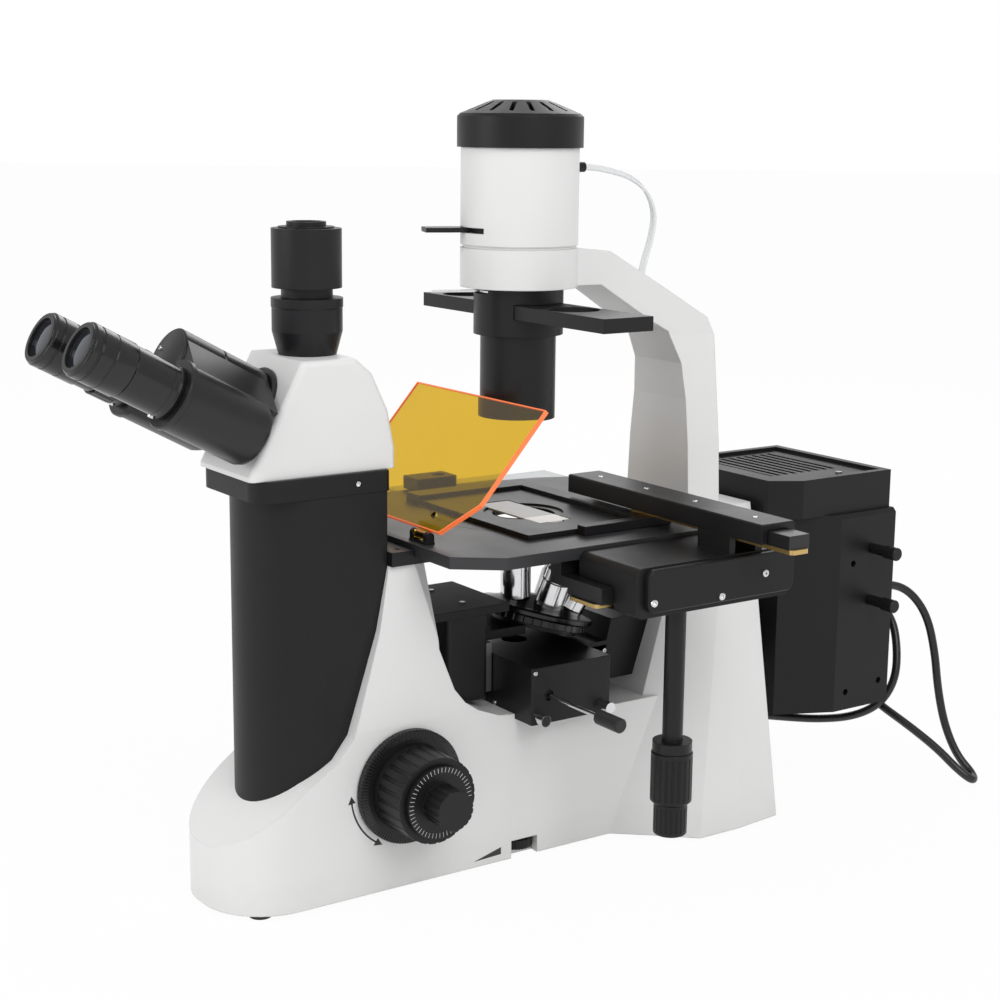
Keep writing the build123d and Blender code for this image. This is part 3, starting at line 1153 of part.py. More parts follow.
seat_slope = tan(radians(TURRET_TILT))
rim_height = SEAT_HEIGHT - (TURRET_RADIUS - 2 - OBJECTIVE_RING) * seat_slope
crown_height = SEAT_HEIGHT + (OBJECTIVE_RING - 9) * seat_slope
with BuildPart() as turret:
    with BuildSketch(turret_side):
        with BuildLine():
            Polyline((8 + FIT, -14), (TURRET_GRIP_RADIUS, -14), (TURRET_GRIP_RADIUS, -7), (TURRET_RADIUS - 1.5, rim_height - 3.2),
                     (TURRET_RADIUS, rim_height - 2.2), (TURRET_RADIUS, rim_height - 1), (TURRET_RADIUS - 2, rim_height),
                     (9, crown_height), (0, crown_height + 1), (0, -6), (8 + FIT, -6), close=True)
        make_face()
    revolve(axis=turret_axis)
    with BuildSketch(turret_plane.offset(-14)):
        with PolarLocations(TURRET_GRIP_RADIUS + 0.4, 36):
            Circle(1.1)
    extrude(amount=6.5, mode=Mode.SUBTRACT)
save(turret, "turret")

# Objectives: each on its own station, all pointing away from one centre
APEX_DROP = OBJECTIVE_RING / tan(radians(TURRET_TILT))
OBJECTIVES = [(48, 10.8, 8.2), (34, 10.4, 4.6), (26, 10.8, 5.6), (38, 11.0, 4.2), (7, 10.2, 8.8)]
with BuildPart() as objectives:
    for station, (length, radius, tip) in enumerate(OBJECTIVES):
        turn = radians(-90 + 360 / OBJECTIVE_STATIONS * station)
        out = turret_plane.x_dir * cos(turn) + turret_plane.y_dir * sin(turn)
        along = turret_plane.z_dir * cos(radians(TURRET_TILT)) + out * sin(radians(TURRET_TILT))
        side = out.cross(turret_plane.z_dir)
        apex = turret_plane.origin - turret_plane.z_dir * (APEX_DROP - SEAT_HEIGHT)
        seat = apex + along * OBJECTIVE_RING / sin(radians(TURRET_TILT))
        with BuildSketch(Plane(origin=seat, x_dir=out * cos(radians(TURRET_TILT)) - turret_plane.z_dir * sin(
                radians(TURRET_TILT)), z_dir=side)):
            with BuildLine():
                Polyline((0, 0), (radius, 0), (radius, length * 0.55), (radius - 1, length * 0.57),
                         (radius - 1, length * 0.8), (tip, length), (0, length), close=True)
            make_face()
        revolve(axis=Axis(seat, along))
save(objectives, "objectives")

# Filter block with the tunnel of its slider
tunnel_end = FILTER_RIGHT - FILTER_WALL
with BuildPart() as filter_block:
    with BuildSketch(Plane.XY.offset(FILTER_BOTTOM + GAP)):
        with Locations(((FILTER_LEFT + FILTER_RIGHT) / 2, (FILTER_FRONT + FILTER_BACK) / 2)):
            Rectangle(FILTER_RIGHT - FILTER_LEFT, FILTER_BACK - FILTER_FRONT)
    extrude(amount=FILTER_TOP - FILTER_BOTTOM - GAP)
    chamfer(filter_block.edges().filter_by(Axis.Z), 1)
    with BuildSketch(Plane.XY.offset(FILTER_BOTTOM + FILTER_WALL)):
        with Locations(((FILTER_LEFT + FILTER_WALL + tunnel_end) / 2, (FILTER_FRONT + FILTER_BACK) / 2)):
            Rectangle(tunnel_end - FILTER_LEFT - FILTER_WALL, FILTER_BACK - FILTER_FRONT - 2 * FILTER_WALL)
    extrude(amount=FILTER_TOP - FILTER_BOTTOM - 2 * FILTER_WALL, mode=Mode.SUBTRACT)
    with BuildSketch(Plane.XY.offset(FILTER_BOTTOM)):
        Circle(9.5)
    extrude(amount=FILTER_TOP, mode=Mode.SUBTRACT)
    with BuildSketch(Plane.YZ.offset(FILTER_RIGHT)):
        with Locations((ROD_Y, ROD_Z)):
            Circle(ROD_RADIUS + FIT)
    extrude(amount=-FILTER_WALL, mode=Mode.SUBTRACT)
    with BuildSketch(Plane.YZ.offset(FILTER_RIGHT)):
        with Locations((ROD_Y, ROD_Z)):
            Circle(4)
    extrude(amount=-2, mode=Mode.SUBTRACT)
    # Illuminator behind the block, with its tube into the tower
    with BuildSketch(Plane.XZ.offset(-FILTER_BACK)) as illuminator_face:
        with Locations((0, (ILLUMINATOR_BOTTOM + ILLUMINATOR_TOP) / 2)):
            Rectangle(2 * ILLUMINATOR_HALF, ILLUMINATOR_TOP - ILLUMINATOR_BOTTOM)
        chamfer(illuminator_face.vertices(), 3)
    extrude(amount=-(62 - FILTER_BACK))
    with BuildSketch(Plane.XZ.offset(-62)):
        with Locations((0, (ILLUMINATOR_BOTTOM + ILLUMINATOR_TOP) / 2)):
            Circle((ILLUMINATOR_TOP - ILLUMINATOR_BOTTOM) / 2)
    extrude(amount=-(ILLUMINATOR_BACK - 62))
save(filter_block, "filter_block")

with BuildPart() as filter_slider:
    with BuildSketch(Plane.XY.offset(FILTER_BOTTOM + FILTER_WALL + SLIDE_GAP)):
        with Locations((tunnel_end - GAP - 18, (FILTER_FRONT + FILTER_BACK) / 2)):
            Rectangle(36, FILTER_BACK - FILTER_FRONT - 2 * FILTER_WALL - 2 * SLIDE_GAP)
            Circle(11, mode=Mode.SUBTRACT)
    extrude(amount=FILTER_TOP - FILTER_BOTTOM - 2 * FILTER_WALL - 2 * SLIDE_GAP)
    with BuildSketch(Plane.YZ.offset(tunnel_end - GAP - 1)):
        with Locations((ROD_Y, ROD_Z)):
            Circle(ROD_RADIUS)
    extrude(amount=ROD_END - tunnel_end + GAP + 2)
    with BuildSketch(Plane.YZ.offset(ROD_END)):
        with Locations((ROD_Y, ROD_Z)):
            Circle(ROD_KNOB_RADIUS)
    extrude(amount=ROD_KNOB_END - ROD_END)
    chamfer(filter_slider.edges().filter_by(GeomType.CIRCLE).sort_by(Axis.X)[-1:], 0.8)
save(filter_slider, "filter_slider")

# Light shield on its clamp: the plate turns about the clamp's pin
pin_y = SHIELD_Y - CLAMP_DROP * cos(radians(SHIELD_TILT)) - SHIELD_THICK / 2 * sin(radians(SHIELD_TILT))
pin_z = SHIELD_Z - CLAMP_DROP * sin(radians(SHIELD_TILT)) + SHIELD_THICK / 2 * cos(radians(SHIELD_TILT))
shield_plane = Plane(origin=(0, SHIELD_Y, SHIELD_Z), x_dir=(1, 0, 0),
                     z_dir=(0, -sin(radians(SHIELD_TILT)), cos(radians(SHIELD_TILT))))
with BuildPart() as light_shield:
    with BuildSketch(shield_plane):
        with BuildLine():
            Polyline((SHIELD_LEFT, 0), (SHIELD_RIGHT - SHIELD_CUT, 0), (SHIELD_RIGHT, SHIELD_CUT + 5),
                     (SHIELD_RIGHT, SHIELD_LENGTH), (SHIELD_LEFT, SHIELD_LENGTH), close=True)
        make_face()
        with Locations((CLAMP_X, -CLAMP_DROP / 2)):
            Rectangle(12, CLAMP_DROP)
        with Locations((CLAMP_X, 11)):
            Circle(2.2, mode=Mode.SUBTRACT)
    extrude(amount=SHIELD_THICK)
    with BuildSketch(Plane.YZ.offset(CLAMP_X - 6)):
        with Locations((pin_y, pin_z)):
            Circle(CLAMP_BARREL)
    extrude(amount=12)
    with BuildSketch(Plane.YZ.offset(CLAMP_X - 6)):
        with Locations((pin_y, pin_z)):
            Circle(CLAMP_PIN_RADIUS + FIT)
    extrude(amount=12, mode=Mode.SUBTRACT)
save(light_shield, "light_shield")

with BuildPart() as shield_clamp:
    with BuildSketch(Plane.XY.offset(STAGE_TOP)):
        with Locations((CLAMP_X, pin_y)):
            Rectangle(21, 7)
    extrude(amount=1.2)
    for start in (CLAMP_X - 10.5, CLAMP_X + 6 + GAP):
        with BuildSketch(Plane.YZ.offset(start)):
            with Locations((pin_y, (STAGE_TOP + pin_z) / 2)):
                Rectangle(2 * CLAMP_BARREL, pin_z - STAGE_TOP)
            with Locations((pin_y, pin_z)):
                Circle(CLAMP_BARREL)
        extrude(amount=4.2)
    with BuildSketch(Plane.YZ.offset(CLAMP_X - 8)):
        with Locations((pin_y, pin_z)):
            Circle(CLAMP_PIN_RADIUS)
    extrude(amount=16)
save(shield_clamp, "shield_clamp")

# Rear lamp house with its louvred top and the adapter tube
with BuildPart() as rear_lamp_house:
    with BuildSketch(Plane.XY.offset(HOUSE_BOTTOM)):
        with BuildLine():
            Polyline((-HOUSE_HALF, HOUSE_BACK), (-HOUSE_HALF, HOUSE_FRONT + HOUSE_CORNER_Y),
                     (-HOUSE_HALF + HOUSE_CORNER_X, HOUSE_FRONT), (HOUSE_HALF - HOUSE_CORNER_X, HOUSE_FRONT),
                     (HOUSE_HALF, HOUSE_FRONT + HOUSE_CORNER_Y), (HOUSE_HALF, HOUSE_BACK), close=True)
        make_face()
    extrude(amount=HOUSE_SHOULDER - HOUSE_BOTTOM)
    chamfer(rear_lamp_house.faces().sort_by(Axis.Z)[-1].edges().filter_by(Axis.Y), 3)
    with BuildSketch(Plane.XY.offset(HOUSE_SHOULDER)):
        with BuildLine():
            Polyline((-HOUSE_UPPER_HALF, HOUSE_UPPER_BACK), (-HOUSE_UPPER_HALF, HOUSE_UPPER_FRONT + 23),
                     (-HOUSE_UPPER_HALF + 14, HOUSE_UPPER_FRONT), (HOUSE_UPPER_HALF - 14, HOUSE_UPPER_FRONT),
                     (HOUSE_UPPER_HALF, HOUSE_UPPER_FRONT + 23), (HOUSE_UPPER_HALF, HOUSE_UPPER_BACK), close=True)
        make_face()
    extrude(amount=HOUSE_TOP - HOUSE_SHOULDER)
    with BuildSketch(Plane.XY.offset(HOUSE_TOP)):
        with Locations((0, 253)):
            Rectangle(2 * HOUSE_UPPER_HALF - 12, 92)
    extrude(amount=-3, mode=Mode.SUBTRACT)
    with BuildSketch(Plane.XY.offset(HOUSE_TOP - 3)):
        with Locations((-12, 250)):
            with GridLocations(1, 8, 1, LOUVRE_COUNT):
                Rectangle(76, 4)
    extrude(amount=-4, mode=Mode.SUBTRACT)
    with BuildSketch(Plane.XZ.offset(-ADAPTER_SEAT_Y)):
        with Locations((0, ADAPTER_TUBE_Z)):
            Circle(ADAPTER_TUBE_RADIUS)
    extrude(amount=-(HOUSE_FRONT - ADAPTER_SEAT_Y))
    with BuildSketch(Plane.YZ.offset(HOUSE_HALF)):
        with Locations(*[(CENTERING_Y, z) for z in CENTERING_Z]):
            Circle(2.5 + FIT)
        with Locations((264, 181), (300, 184), (262, 80), (297, 84)):
            Circle(2.5)
    extrude(amount=-8, mode=Mode.SUBTRACT)
save(rear_lamp_house, "rear_lamp_house")

# Lamp centering knobs
for name, z in zip(("upper_centering_knob", "lower_centering_knob"), CENTERING_Z):
    with BuildPart() as centering_knob:
        with BuildSketch(Plane.YZ.offset(HOUSE_HALF - 7)):
            with Locations((CENTERING_Y, z)):
                Circle(2.5)
        extrude(amount=9)
        with BuildSketch(Plane.YZ.offset(HOUSE_HALF + 1)):
            with Locations((CENTERING_Y, z)):
                Circle(4)
        extrude(amount=CENTERING_LENGTH - 12)
        with BuildSketch(Plane.YZ.offset(HOUSE_HALF + CENTERING_LENGTH - 12)):
            with Locations((CENTERING_Y, z)):
                Circle(CENTERING_RADIUS)
        extrude(amount=12)
        chamfer(centering_knob.edges().filter_by(GeomType.CIRCLE).sort_by(Axis.X)[-1:], 0.8)
    save(centering_knob, name)

# Screws that fasten the fixed parts
with BuildPart() as case_screws:
    with BuildSketch(Plane.XY.offset(HOUSE_TOP - 3)):
        with Locations((44, 270)):
            Circle(2.6)
    extrude(amount=1.6)
    with BuildSketch(Plane.XY.offset(FOCUS_TOP + 6)):
        with Locations((20, -58), (-20, -58)):
            Circle(2)
    extrude(amount=1)
    # Thumb screws of the filter block
    with BuildSketch(Plane.YZ.offset(FILTER_RIGHT)):
        with Locations((FILTER_FRONT + 5, FILTER_BOTTOM + 5.5), (FILTER_BACK - 7, FILTER_BOTTOM + 5.5)):
            Circle(3)
    extrude(amount=4)
    with BuildSketch(Plane.YZ.offset(FILTER_RIGHT + 4)):
        with Locations((FILTER_FRONT + 5, FILTER_BOTTOM + 5.5), (FILTER_BACK - 7, FILTER_BOTTOM + 5.5)):
            Circle(4)
    extrude(amount=6)
save(case_screws, "case_screws")

# Cables. Each route is chosen by hand; every corner gets an arc as large as its runs allow.


def arcs(points):
    """Arc radius for every corner of a route."""
    radii = []
    for before, corner, after in zip(points, points[1:], points[2:]):
        run_in = Vector(*corner) - Vector(*before)
        run_out = Vector(*after) - Vector(*corner)
        turn = radians(run_in.get_angle(run_out))
        radii.append(0.45 * min(run_in.length, run_out.length) / tan(turn / 2))
    return radii


def cable(points, radius, name):
    """A round cable along straight runs and tangent arcs."""
    radii = arcs(points)
    print(name, "radii", [round(r, 1) for r in radii])
    with BuildPart() as cord:
        with BuildLine() as route:
            FilletPolyline(*points, radius=radii)
        with BuildSketch(Plane(origin=points[0], z_dir=route.line % 0)):
            Circle(radius)
        sweep()
    length = sum(edge.length for edge in route.edges())
    print(name, "length", round(length, 1), "volume ratio", round(cord.part.volume / (pi * radius ** 2 * length), 4))
    return cord


LEAD_ROUTE = [(0, GLAND_END, LEAD_Z), (0, 62, 477), (0, 80, 474), (0, 98, 469), (0, 112, 458.5), (0, 118.5, 443),
              (0, 115.5, 426), (0, 110, 411), (0, 106.8, 397), (0, 105.6, 390.5)]
lamp_lead = cable(LEAD_ROUTE, LEAD_RADIUS, "lamp_lead")
save(lamp_lead, "lamp_lead")

CABLE_ROUTE = [(50, HOUSE_BACK + 8, 153), (50, 328, 153), (56, 344, 145), (65, 354, 126), (72, 357, 98),
               (78, 356, 70), (86, 357, 42), (98, 360, 19), (112, 365, 6), (122, 354, 5.5), (112, 346, 14),
               (93, 342, 27), (68, 334, 41), (42, 328, 52), (16, 327, 64), (-10, 330, 80), (-24, 334, 103),
               (-13, 339, 126), (14, 342, 135), (38, 343, 121), (50, 338, 98), (56, 331, 75), (50, 322, 55),
               (33, 311, 42), (10, 295, 36), (-8, 272, 37), (-16, 245, 42), (-18, 220, 47), (-18, 200, 47)]
lamp_house_cable = cable(CABLE_ROUTE, CABLE_RADIUS, "lamp_house_cable")
save(lamp_house_cable, "lamp_house_cable")

# Glands of the cable and of the lead, and the cable's plug in the tower
with BuildPart() as cable_glands:
    with BuildSketch(Plane.XZ.offset(-HOUSE_BACK)):
        with Locations((50, 153)):
            Circle(6)
    extrude(amount=-8)
    with BuildSketch(Plane.XZ.offset(-200)):
        with Locations((-18, 47)):
            Circle(6.5)
    extrude(amount=200 - SOCKET_Y - GAP)
    with BuildSketch(Plane.XZ.offset(-(LAMP_RADIUS - LAMP_WALL))):
        with Locations((0, LEAD_Z)):
            Circle(GLAND_RADIUS)
    extrude(amount=-(GLAND_END - LAMP_RADIUS + LAMP_WALL))
save(cable_glands, "cable_glands")
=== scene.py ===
from math import cos, pi, radians, sin

import bmesh
import bpy
import numpy as np
from mathutils import Matrix, Vector


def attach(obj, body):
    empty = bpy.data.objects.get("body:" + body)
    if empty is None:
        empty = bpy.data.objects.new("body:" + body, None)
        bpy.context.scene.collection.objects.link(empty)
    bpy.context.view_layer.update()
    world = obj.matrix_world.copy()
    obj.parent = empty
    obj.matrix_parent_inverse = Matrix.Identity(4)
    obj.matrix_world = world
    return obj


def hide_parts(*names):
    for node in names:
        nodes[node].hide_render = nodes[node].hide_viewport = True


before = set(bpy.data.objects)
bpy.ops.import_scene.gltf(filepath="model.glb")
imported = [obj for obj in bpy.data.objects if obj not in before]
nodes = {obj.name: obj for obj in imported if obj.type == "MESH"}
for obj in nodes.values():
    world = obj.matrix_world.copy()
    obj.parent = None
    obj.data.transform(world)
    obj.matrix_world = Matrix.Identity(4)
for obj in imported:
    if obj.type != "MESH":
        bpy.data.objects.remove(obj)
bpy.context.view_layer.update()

# Camera. It stands at the user's right, a little above the stage, as in the photograph.
# The lens, the place and the roll were solved from the picture's straight edges.
view_azimuth = radians(55.5)
view_elevation = radians(11.43)
view_roll = radians(0.577)
camera_place = Vector((1.06623, -0.74657, 0.5094))
camera_back = Vector((sin(view_azimuth) * cos(view_elevation), -cos(view_azimuth) * cos(view_elevation),
                      sin(view_elevation)))
level_right = (-camera_back).cross(Vector((0, 0, 1))).normalized()
level_up = level_right.cross(-camera_back)
camera_right = cos(view_roll) * level_right + sin(view_roll) * level_up
camera_up = cos(view_roll) * level_up - sin(view_roll) * level_right
camera_data = bpy.data.cameras.new("camera")
camera_data.lens = 67.9
camera_data.sensor_width = 36.0
camera_data.clip_end = 20.0
camera = bpy.data.objects.new("camera", camera_data)
bpy.context.scene.collection.objects.link(camera)
camera.matrix_world = Matrix.Translation(camera_place) @ Matrix(
    (camera_right, camera_up, camera_back)).transposed().to_4x4()
bpy.context.scene.camera = camera


# Cable of the rear lamp house. A smooth black PVC cable, 6.5 mm thick, that leaves the gland at the back,
# falls to the bench, rises into a loop behind the lamp house and goes into the tower low down.
class Wire:
    """A shader socket for use in expressions: each operator adds its Math node."""

    def __init__(self, finish, socket):
        self.finish = finish
        self.socket = socket

    def __add__(self, other):
        return self.finish.maths("ADD", self, other)

    def __sub__(self, other):
        return self.finish.maths("SUBTRACT", self, other)

    def __rsub__(self, other):
        return self.finish.maths("SUBTRACT", other, self)

    def __mul__(self, other):
        return self.finish.maths("MULTIPLY", self, other)

    def __lt__(self, other):
        return self.finish.maths("LESS_THAN", self, other)

    def __gt__(self, other):
        return self.finish.maths("GREATER_THAN", self, other)

    __radd__ = __add__
    __rmul__ = __mul__

    def sine(self):
        """The sine of this value, in radians."""
        return self.finish.node("ShaderNodeMath", {"operation": "SINE"}, {0: self})


class Finish:
    """A material's nodes, added by one method."""

    def __init__(self, name):
        self.material = bpy.data.materials.new(name)
        self.material.use_nodes = True
        self.tree = self.material.node_tree
        self.tree.nodes.clear()
        self.output = self.tree.nodes.new("ShaderNodeOutputMaterial")

    def node(self, kind, settings=None, values=None, out=0):
        """Adds a node: its settings, then the value or link of each socket. Gives back one output."""
        node = self.tree.nodes.new(kind)
        for key, value in (settings or {}).items():
            setattr(node, key, value)
        for key, value in (values or {}).items():
            if isinstance(value, Wire):
                self.tree.links.new(value.socket, node.inputs[key])
            else:
                node.inputs[key].default_value = value
        return Wire(self, node.outputs[out])

    def maths(self, operation, first, second):
        """A Math node of two values."""
        return self.node("ShaderNodeMath", {"operation": operation}, {0: first, 1: second})

    def place(self):
        """The point of the surface in the object's own coordinates."""
        return self.node("ShaderNodeTexCoord", out="Object")

    def axis(self, number):
        """One coordinate of that point, in metres."""
        return self.node("ShaderNodeSeparateXYZ", None, {0: self.place()}, out=number)

    def noise(self, scale, detail=2.0, stretch=(1, 1, 1)):
        """Noise from 0 to 1 with about scale features in a metre, stretched by three factors."""
        spot = self.node("ShaderNodeMapping", None, {"Vector": self.place(), "Scale": stretch})
        return self.node("ShaderNodeTexNoise", None, {"Vector": spot, "Scale": scale, "Detail": detail})

    def mix(self, factor, first, second):
        """The first colour where the factor is 0 and the second where it is 1."""
        start, end = [tone if isinstance(tone, Wire) else (*tone, 1) for tone in (first, second)]
        return self.node("ShaderNodeMix", {"data_type": "RGBA"}, {0: factor, 6: start, 7: end}, out=2)

    def relief(self, height, depth, edge=0.0):
        """A normal from a height between 0 and 1 that stands for depth metres, with edges rounded by edge."""
        values = {"Strength": 1.0, "Distance": depth, "Height": height}
        if edge:
            values["Normal"] = self.node("ShaderNodeBevel", {"samples": 4}, {"Radius": edge})
        return self.node("ShaderNodeBump", None, values)

    def surface(self, colour, roughness, metallic=0.0, normal=None, **more):
        """Ends the tree in one Principled shader and gives the material back."""
        values = {"Base Color": colour, "Roughness": roughness, "Metallic": metallic}
        if normal is not None:
            values["Normal"] = normal
        values.update({key.replace("_", " "): value for key, value in more.items()})
        shader = self.node("ShaderNodeBsdfPrincipled", None, values)
        self.tree.links.new(shader.socket, self.output.inputs[0])
        return self.material


def spline_curve(name, route, thickness):
    """A round cord along a NURBS spline whose control points are the route, given in millimetres."""
    data = bpy.data.curves.new(name, "CURVE")
    data.dimensions = "3D"
    spline = data.splines.new("NURBS")
    spline.points.add(len(route) - 1)
    for point, (x, y, z) in zip(spline.points, route):
        point.co = (x / 1000, y / 1000, z / 1000, 1)
    spline.order_u = 3
    spline.use_endpoint_u = True
    spline.resolution_u = 8
    data.bevel_depth = thickness / 2
    data.bevel_resolution = 4
    data.use_fill_caps = True
    cord = bpy.data.objects.new(name, data)
    bpy.context.scene.collection.objects.link(cord)
    return cord


cable_route = [(50, 315, 153), (50, 328, 153), (56, 344, 145), (65, 354, 126), (72, 357, 98),
               (78, 356, 70), (86, 357, 42), (98, 360, 19), (112, 365, 6), (122, 354, 5.5), (112, 346, 14),
               (93, 342, 27), (68, 334, 41), (42, 328, 52), (16, 327, 64), (-10, 330, 80), (-24, 334, 103),
               (-13, 339, 126), (14, 342, 135), (38, 343, 121), (50, 338, 98), (56, 331, 75), (50, 322, 55),
               (33, 311, 42), (10, 295, 36), (-8, 272, 37), (-16, 245, 42), (-18, 220, 47), (-18, 200, 47)]
cable_thickness = 0.0065
pvc = Finish("cable_pvc")
sheath = pvc.noise(350, 3)
cable_pvc = pvc.surface(pvc.mix(sheath, (0.010, 0.010, 0.011), (0.018, 0.018, 0.019)), 0.22 + 0.16 * sheath,
                        normal=pvc.relief(pvc.noise(900, 2), 0.00008))
lamp_cable = spline_curve("lamp_cable", cable_route, cable_thickness)
lamp_cable.data.materials.append(cable_pvc)
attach(lamp_cable, "base")
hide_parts("lamp_house_cable")


# Lead of the upper lamp. A white flat twin lead from the gland in the housing to the hole in the
# arm: two cores side by side, soft PVC, with a quarter twist on the way.
def spline_points(route):
    """Points along the smooth spline of a route, with no thickness."""
    guide = spline_curve("guide", route, 0)
    guide.data.bevel_depth = 0
    guide.data.use_fill_caps = False
    mesh = bpy.data.meshes.new_from_object(guide)
    points = np.array([tuple(vertex.co) for vertex in mesh.vertices])
    bpy.data.objects.remove(guide)
    bpy.data.meshes.remove(mesh)
    return points


def grid_faces(rows, columns, closed=True):
    """Quads of a grid whose points run row by row; closed joins the last column to the first."""
    row, column = np.meshgrid(np.arange(rows - 1), np.arange(columns if closed else columns - 1),
                              indexing="ij")
    following = (column + 1) % columns
    quads = np.stack([row * columns + column, row * columns + following, (row + 1) * columns + following,
                      (row + 1) * columns + column], axis=-1)
    return quads.reshape(-1, 4)


def piece(name, points, faces, material, body, crease=35):
    """A mesh piece: doubles merged, faces turned outwards, smooth except over sharp edges."""
    mesh = bpy.data.meshes.new(name)
    mesh.from_pydata(np.asarray(points).tolist(), [], [list(map(int, face)) for face in faces])
    work = bmesh.new()
    work.from_mesh(mesh)
    bmesh.ops.remove_doubles(work, verts=work.verts, dist=1e-6)
    bmesh.ops.dissolve_degenerate(work, edges=work.edges, dist=1e-7)
    bmesh.ops.recalc_face_normals(work, faces=work.faces)
    work.to_mesh(mesh)
    work.free()
    mesh.shade_smooth()
    mesh.set_sharp_from_angle(angle=radians(crease))
    mesh.materials.append(material)
    made = bpy.data.objects.new(name, mesh)
    bpy.context.scene.collection.objects.link(made)
    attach(made, body)
    return made


def twin_lead(path, core, twist, columns):
    """Two round cores along a path: at each point the section is a pair of circles that touch, turned
    about the path by the twist angle of that point, and necked where they touch."""
    along = np.gradient(path, axis=0)
    along /= np.linalg.norm(along, axis=1, keepdims=True)
    side = np.tile([1.0, 0.0, 0.0], (len(path), 1))
    lift = np.cross(along, side)
    wide = side * np.cos(twist)[:, None] + lift * np.sin(twist)[:, None]
    thin = np.cross(along, wide)
    angle = np.linspace(0, 2 * pi, columns, endpoint=False)
    across = np.sign(np.cos(angle)) * core + core * np.cos(angle)
    across[np.abs(np.cos(angle)) < 1e-9] = 0
    neck = 0.55
    high = core * np.sin(angle)
    high = np.where(np.abs(across) < 0.2 * core, high * neck, high)
    points = path[:, None] + wide[:, None] * across[None, :, None] + thin[:, None] * high[None, :, None]
    return points.reshape(-1, 3), grid_faces(len(path), columns)


lead_route = [(0, 54, 477), (0, 62, 477), (0, 80, 474), (0, 98, 469), (0, 112, 458.5), (0, 118.5, 443),
              (0, 115.5, 426), (0, 110, 411), (0, 106.8, 397), (0, 105.6, 390.5)]
lead_core = 0.0013
lead_columns = 24
white_pvc = Finish("lead_pvc")
lead_pvc = white_pvc.surface(white_pvc.mix(white_pvc.noise(200, 2), (0.78, 0.79, 0.80), (0.86, 0.87, 0.88)),
                             0.34, normal=white_pvc.relief(white_pvc.noise(1200, 2), 0.00003),
                             Subsurface_Weight=0.15, Subsurface_Radius=(0.002, 0.002, 0.002))
lead_path = spline_points(lead_route)
lead_twist = np.interp(np.linspace(0, 1, len(lead_path)), [0, 0.35, 0.6, 1], [0.9, 0.7, -0.25, -0.8])
lead_points, lead_faces = twin_lead(lead_path, lead_core, lead_twist, lead_columns)
lead_ends = [list(range(lead_columns))[::-1],
             list(range(len(lead_points) - lead_columns, len(lead_points)))]
lamp_lead = piece("upper_lamp_lead", lead_points, [*lead_faces, *lead_ends], lead_pvc, "base",
                  60)
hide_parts("lamp_lead")

# Bench and light. A white sweep of paper, with broad soft lights at the right, the front and the back left.
# The paper shows white to the camera and to metal and glass, and keeps the object's shadow.
floor_half = 40
white_share = 0.96
sky_strength = 0.62
paper = Finish("paper")
looks = paper.node("ShaderNodeLightPath", out="Is Camera Ray")
mirrored = paper.node("ShaderNodeLightPath", out="Is Glossy Ray")
through = paper.node("ShaderNodeLightPath", out="Is Transmission Ray")
paper_white = paper.node("ShaderNodeEmission", None, {"Color": (1, 1, 1, 1), "Strength": 1.0})
paper_matt = paper.node("ShaderNodeBsdfDiffuse", None, {"Color": (0.86, 0.86, 0.86, 1)})
paper_share = (looks + mirrored + through) * white_share
paper_mix = paper.node("ShaderNodeMixShader", None, {0: paper_share, 1: paper_matt, 2: paper_white})
paper.tree.links.new(paper_mix.socket, paper.output.inputs[0])
floor_mesh = bpy.data.meshes.new("floor")
floor_mesh.from_pydata([(-floor_half, -floor_half, 0), (floor_half, -floor_half, 0),
                        (floor_half, floor_half, 0), (-floor_half, floor_half, 0)], [], [(0, 1, 2, 3)])
floor_mesh.materials.append(paper.material)
floor = bpy.data.objects.new("floor", floor_mesh)
bpy.context.scene.collection.objects.link(floor)

world = bpy.data.worlds.new("world")
bpy.context.scene.world = world
world.use_nodes = True
sky = world.node_tree
sky.nodes.clear()


def sky_shade(strength):
    """A plain white background of one strength."""
    shade = sky.nodes.new("ShaderNodeBackground")
    shade.inputs["Color"].default_value = (1, 1, 1, 1)
    shade.inputs["Strength"].default_value = strength
    return shade.outputs[0]


sky_path = sky.nodes.new("ShaderNodeLightPath")
sky_mix = sky.nodes.new("ShaderNodeMixShader")
sky_out = sky.nodes.new("ShaderNodeOutputWorld")
sky.links.new(sky_path.outputs["Is Camera Ray"], sky_mix.inputs[0])
sky.links.new(sky_shade(sky_strength), sky_mix.inputs[1])
sky.links.new(sky_shade(1.0), sky_mix.inputs[2])
sky.links.new(sky_mix.outputs[0], sky_out.inputs[0])


def soft_light(name, place, target, size, power):
    """A square area light at a place, turned to a target."""
    data = bpy.data.lights.new(name, "AREA")
    data.size = size
    data.energy = power
    light = bpy.data.objects.new(name, data)
    light.location = place
    light.rotation_mode = "QUATERNION"
    light.rotation_quaternion = (Vector(target) - Vector(place)).to_track_quat("-Z", "Y")
    bpy.context.scene.collection.objects.link(light)


soft_light("key_light", (1.6, -0.2, 1.6), (0, 0, 0.25), size=1.2, power=16)
soft_light("front_light", (-0.3, -2.2, 1.1), (0, 0, 0.3), size=1.4, power=14)
soft_light("back_light", (-1.6, 1.4, 1.5), (0, 0, 0.3), size=1.2, power=10)
bpy.context.scene.view_settings.view_transform = "Standard"


# White castings: the base with its tower, the lamp arm, the head and the upper lamp's housing.
# Cast aluminium with a satin white powder paint, whose skin has a faint orange peel.
def wear(material, *names):
    """Puts a finish on CAD nodes."""
    for name in names:
        nodes[name].data.materials.clear()
        nodes[name].data.materials.append(material)


